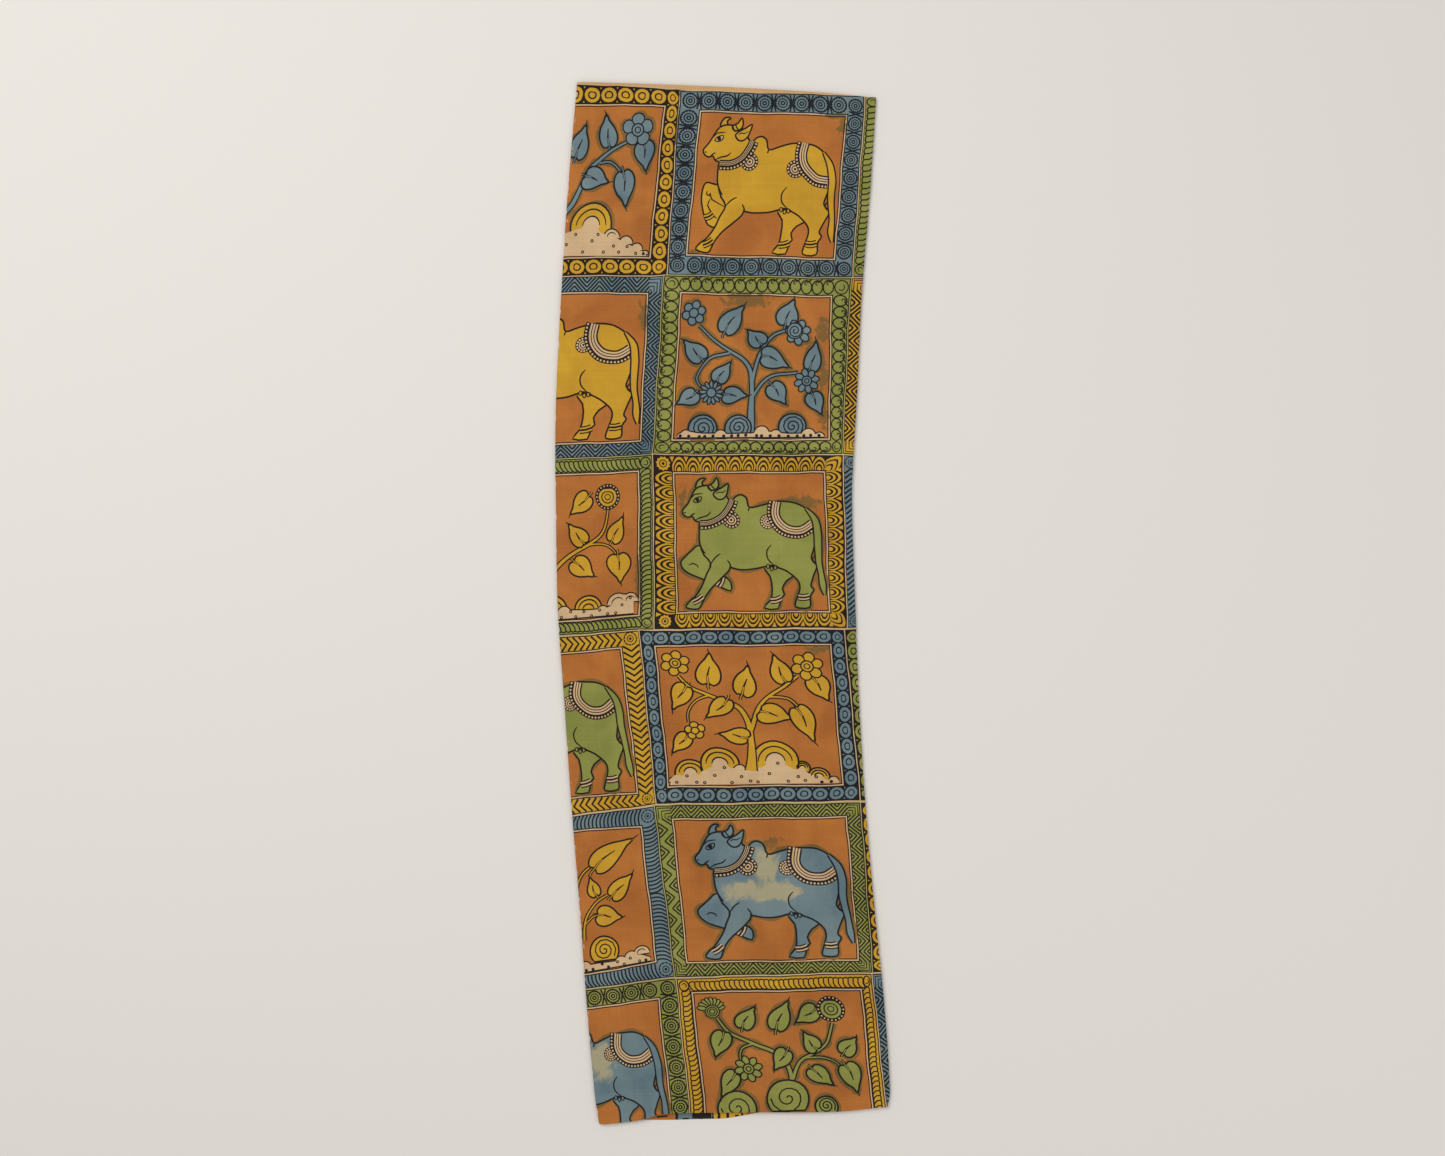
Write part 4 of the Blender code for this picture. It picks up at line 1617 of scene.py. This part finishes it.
def colour_values(rgb):
    """A daylight colour as linear light."""
    values = np.array(rgb, float) / 255
    return np.where(values <= 0.04045, values / 12.92, ((values + 0.055) / 1.055) ** 2.4)


# The texture holds the top layer in two halves, with the rest of the cloth small above them
HALF_LONG = 0.585
TOP_WIDE = 0.374
TOP_REACH = 0.187
TOP_SCALE = 0.490 / TOP_WIDE
MARGIN = 0.005
SMALL_FROM = MARGIN + 0.60 * TOP_SCALE
SMALL_ROOM = 0.99 - SMALL_FROM
FLAT_REACH = 0.52
UNDER_LONG = 0.66
UNDER_WIDE = 0.36
FRONT_FROM, REVERSE_FROM = 0.68, 0.84
HIDDEN_LONG = 0.15


def bake_places(sheet):
    """Texture places of the corners of all triangles."""
    flat, triangles = sheet["flat"], sheet["triangles"]
    corners = flat[triangles]
    middle = corners.mean(axis=1)
    left_line, _, right_line, _ = fold_lines(middle[:, 1])
    front = np.arange(len(triangles)) < sheet["front_count"]
    near_left, near_right = left_line - CLEAR_OF_FOLD, right_line + CLEAR_OF_FOLD
    top = front & (middle[:, 0] > near_left) & (middle[:, 0] < near_right)
    under = front & ~top & (middle[:, 0] < 0)
    u = (corners[:, :, 0] + TOP_REACH) * TOP_SCALE + MARGIN
    v = corners[:, :, 1] * TOP_SCALE + MARGIN
    upper = middle[:, 1] > 0
    u = u + np.where(upper, 0.0, 0.5)[:, None]
    v = v + np.where(upper, 0.0, HALF_LONG * TOP_SCALE)[:, None]
    along = (corners[:, :, 1] + HALF_LONG) / (2 * HALF_LONG)
    across = corners[:, :, 0] + FLAT_REACH
    u = np.where(under[:, None], MARGIN + along * UNDER_LONG, u)
    v = np.where(under[:, None], SMALL_FROM + across / UNDER_WIDE * SMALL_ROOM, v)
    hidden = ~top & ~under
    start = np.where(front, FRONT_FROM, REVERSE_FROM)[:, None]
    u = np.where(hidden[:, None], start + along * HIDDEN_LONG, u)
    v = np.where(hidden[:, None], SMALL_FROM + across / (2 * FLAT_REACH) * SMALL_ROOM, v)
    return np.stack([u, v], axis=2).reshape(-1, 2)


def sheet_object():
    """The cloth's mesh, with its dyes, marks and texture places."""
    sheet = build_sheet()
    triangles, paints = sheet["triangles"], sheet["paints"]
    mesh = bpy.data.meshes.new("kalamkari_cloth")
    mesh.vertices.add(len(sheet["places"]))
    mesh.vertices.foreach_set("co", sheet["places"].astype(np.float32).ravel())
    mesh.loops.add(3 * len(triangles))
    mesh.loops.foreach_set("vertex_index", triangles.astype(np.int32).ravel())
    mesh.polygons.add(len(triangles))
    mesh.polygons.foreach_set("loop_start", np.arange(0, 3 * len(triangles), 3, dtype=np.int32))
    mesh.update(calc_edges=True)
    for name, tone in (("dye_light", 0), ("dye_deep", 1)):
        table = np.array([(*colour_values(PAINTS[paint][tone]), 1.0) for paint in PAINT_NAMES])
        layer = mesh.color_attributes.new(name, "FLOAT_COLOR", "CORNER")
        layer.data.foreach_set("color", np.repeat(table[paints], 3, axis=0).astype(np.float32).ravel())
    marks = np.stack([sheet["stain"].ravel(), sheet["bare"].ravel()], axis=1)
    marks = np.hstack([marks, np.zeros((len(marks), 1)), np.ones((len(marks), 1))])
    layer = mesh.color_attributes.new("marks", "FLOAT_COLOR", "CORNER")
    layer.data.foreach_set("color", marks.astype(np.float32).ravel())
    for name, places in (("OFBake", bake_places(sheet)), ("flat", sheet["flat"][triangles.ravel()])):
        layer = mesh.uv_layers.new(name=name)
        layer.data.foreach_set("uv", places.astype(np.float32).ravel())
    mesh.shade_smooth()
    mesh.normals_split_custom_set_from_vertices([tuple(normal) for normal in sheet["normals"]])
    cloth = bpy.data.objects.new("kalamkari_cloth", mesh)
    bpy.context.scene.collection.objects.link(cloth)
    print("triangles in all", len(triangles))
    return cloth


# Material

OLIVE = (104, 84, 44)
BARE = (165, 154, 119)
NOISE_LOW, NOISE_HIGH = 0.3, 0.7


def cloth_material():
    """Dyed plain-weave cotton: uneven dyes, run-out edges, streaks along the threads and a weave."""
    material = bpy.data.materials.new("kalamkari_cotton")
    material.use_nodes = True
    tree = material.node_tree
    links = tree.links
    shader = tree.nodes["Principled BSDF"]
    shader.inputs["Roughness"].default_value = 0.86
    shader.inputs["Specular IOR Level"].default_value = 0.22

    def node(kind, **values):
        """A new node, with its inputs set. Input names have spaces and capitals."""
        made = tree.nodes.new(kind)
        for name, value in values.items():
            made.inputs[name.replace("_", " ").title()].default_value = value
        return made

    flat = node("ShaderNodeUVMap")
    flat.uv_map = "flat"

    def colour(name):
        made = node("ShaderNodeVertexColor")
        made.layer_name = name
        return made.outputs["Color"]

    def noise(across, up, detail, distortion=0.0):
        mapping = node("ShaderNodeMapping", scale=(across, up, 1.0))
        links.new(flat.outputs["UV"], mapping.inputs["Vector"])
        made = node("ShaderNodeTexNoise", scale=1.0, detail=detail, distortion=distortion)
        links.new(mapping.outputs["Vector"], made.inputs["Vector"])
        return made.outputs["Fac"]

    def ranged(value, low, high, to_low, to_high):
        made = node("ShaderNodeMapRange", from_min=low, from_max=high, to_min=to_low, to_max=to_high)
        links.new(value, made.inputs["Value"])
        return made.outputs["Result"]

    def evened(value, to_low, to_high):
        return ranged(value, NOISE_LOW, NOISE_HIGH, to_low, to_high)

    def combine(operation, first, second):
        made = node("ShaderNodeMath")
        made.operation = operation
        links.new(first, made.inputs[0])
        links.new(second, made.inputs[1])
        return made.outputs["Value"]

    def mixed(first, second, factor=None, kind="MIX"):
        made = node("ShaderNodeMix")
        made.data_type = "RGBA"
        made.blend_type = kind
        links.new(first, made.inputs["A"])
        if isinstance(second, tuple):
            made.inputs["B"].default_value = (*colour_values(second), 1.0)
        else:
            links.new(second, made.inputs["B"])
        if factor is None:
            made.inputs["Factor"].default_value = 1.0
        else:
            links.new(factor, made.inputs["Factor"])
        return made.outputs["Result"]

    marks = node("ShaderNodeSeparateColor")
    links.new(colour("marks"), marks.inputs["Color"])
    ragged = evened(noise(150, 150, 3.0, 0.4), -0.3, 0.3)
    cloudy = evened(noise(70, 60, 3.0, 0.8), -0.25, 0.25)
    stain = ranged(combine("ADD", marks.outputs["Red"], ragged), 0.40, 0.66, 0.0, 0.80)
    bare = ranged(combine("ADD", marks.outputs["Green"], cloudy), 0.42, 0.72, 0.0, 0.85)
    tones = ranged(noise(20, 20, 4.0, 0.5), 0.36, 0.66, 0.0, 1.0)
    dye = mixed(colour("dye_light"), colour("dye_deep"), tones)
    dye = mixed(dye, BARE, bare)
    dye = mixed(dye, OLIVE, stain)
    weft = evened(noise(9, 520, 2.0), 0.96, 1.04)
    warp = evened(noise(420, 12, 2.0), 0.975, 1.025)
    grain = evened(noise(1500, 1500, 1.0), 0.94, 1.06)
    tone = combine("MULTIPLY", combine("MULTIPLY", weft, warp), grain)
    links.new(mixed(dye, tone, None, "MULTIPLY"), shader.inputs["Base Color"])

    threads = []
    for direction in ("X", "Y"):
        wave = node("ShaderNodeTexWave", scale=320.0, distortion=0.6, detail=1.0)
        wave.bands_direction = direction
        links.new(flat.outputs["UV"], wave.inputs["Vector"])
        threads.append(wave.outputs["Fac"])
    soft = node("ShaderNodeBump", strength=0.35, distance=0.0012)
    links.new(noise(34, 30, 3.0, 0.4), soft.inputs["Height"])
    weave = node("ShaderNodeBump", strength=0.25, distance=0.00012)
    links.new(combine("ADD", *threads), weave.inputs["Height"])
    links.new(soft.outputs["Normal"], weave.inputs["Normal"])
    links.new(weave.outputs["Normal"], shader.inputs["Normal"])
    return material


# Studio

PHOTO_WIDTH = 1445
METRES_PER_PIXEL = 0.001092
VIEW_CENTRE = (0.0, 0.0278)
LENS = 50.0
SENSOR = 36.0
FLOOR_SIZE = 8.0
FLOOR_COLOUR = (0.72, 0.69, 0.65, 1)
SKY_COLOUR = (1.0, 0.98, 0.95, 1)
Lamp = namedtuple("Lamp", "name place size watts")
LAMPS = rows(Lamp, (("key", (-1.3, 1.2, 2.4), 1.6, 42.0), ("fill", (1.6, -0.8, 2.2), 2.0, 16.0)))


def studio():
    """The camera over the cloth, a pale floor, two soft lamps and an even sky."""
    frame_width = PHOTO_WIDTH * METRES_PER_PIXEL
    camera = bpy.data.cameras.new("camera")
    camera.lens = LENS
    camera.sensor_width = SENSOR
    holder = bpy.data.objects.new("camera", camera)
    holder.location = (VIEW_CENTRE[0], VIEW_CENTRE[1], frame_width * LENS / SENSOR)
    bpy.context.scene.collection.objects.link(holder)
    bpy.context.scene.camera = holder

    bpy.ops.mesh.primitive_plane_add(size=FLOOR_SIZE)
    floor = bpy.context.object
    floor.name = "floor"
    paper = bpy.data.materials.new("floor")
    paper.use_nodes = True
    shader = paper.node_tree.nodes["Principled BSDF"]
    shader.inputs["Base Color"].default_value = FLOOR_COLOUR
    shader.inputs["Roughness"].default_value = 0.9
    floor.data.materials.append(paper)

    for row in LAMPS:
        lamp = bpy.data.lights.new(row.name, "AREA")
        lamp.energy = row.watts
        lamp.size = row.size
        lamp_object = bpy.data.objects.new(row.name, lamp)
        lamp_object.location = row.place
        lamp_object.rotation_euler = Vector(row.place).to_track_quat("Z", "Y").to_euler()
        bpy.context.scene.collection.objects.link(lamp_object)
    world = bpy.data.worlds.new("studio")
    world.use_nodes = True
    sky = world.node_tree.nodes["Background"]
    sky.inputs["Color"].default_value = SKY_COLOUR
    sky.inputs["Strength"].default_value = 0.55
    bpy.context.scene.world = world
    bpy.context.scene.view_settings.view_transform = "Standard"


studio()
cloth = sheet_object()
cloth.data.materials.append(cloth_material())
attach(cloth, "root" if "root" in frame["bodies"] else next(iter(frame["bodies"])))
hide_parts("cloth")
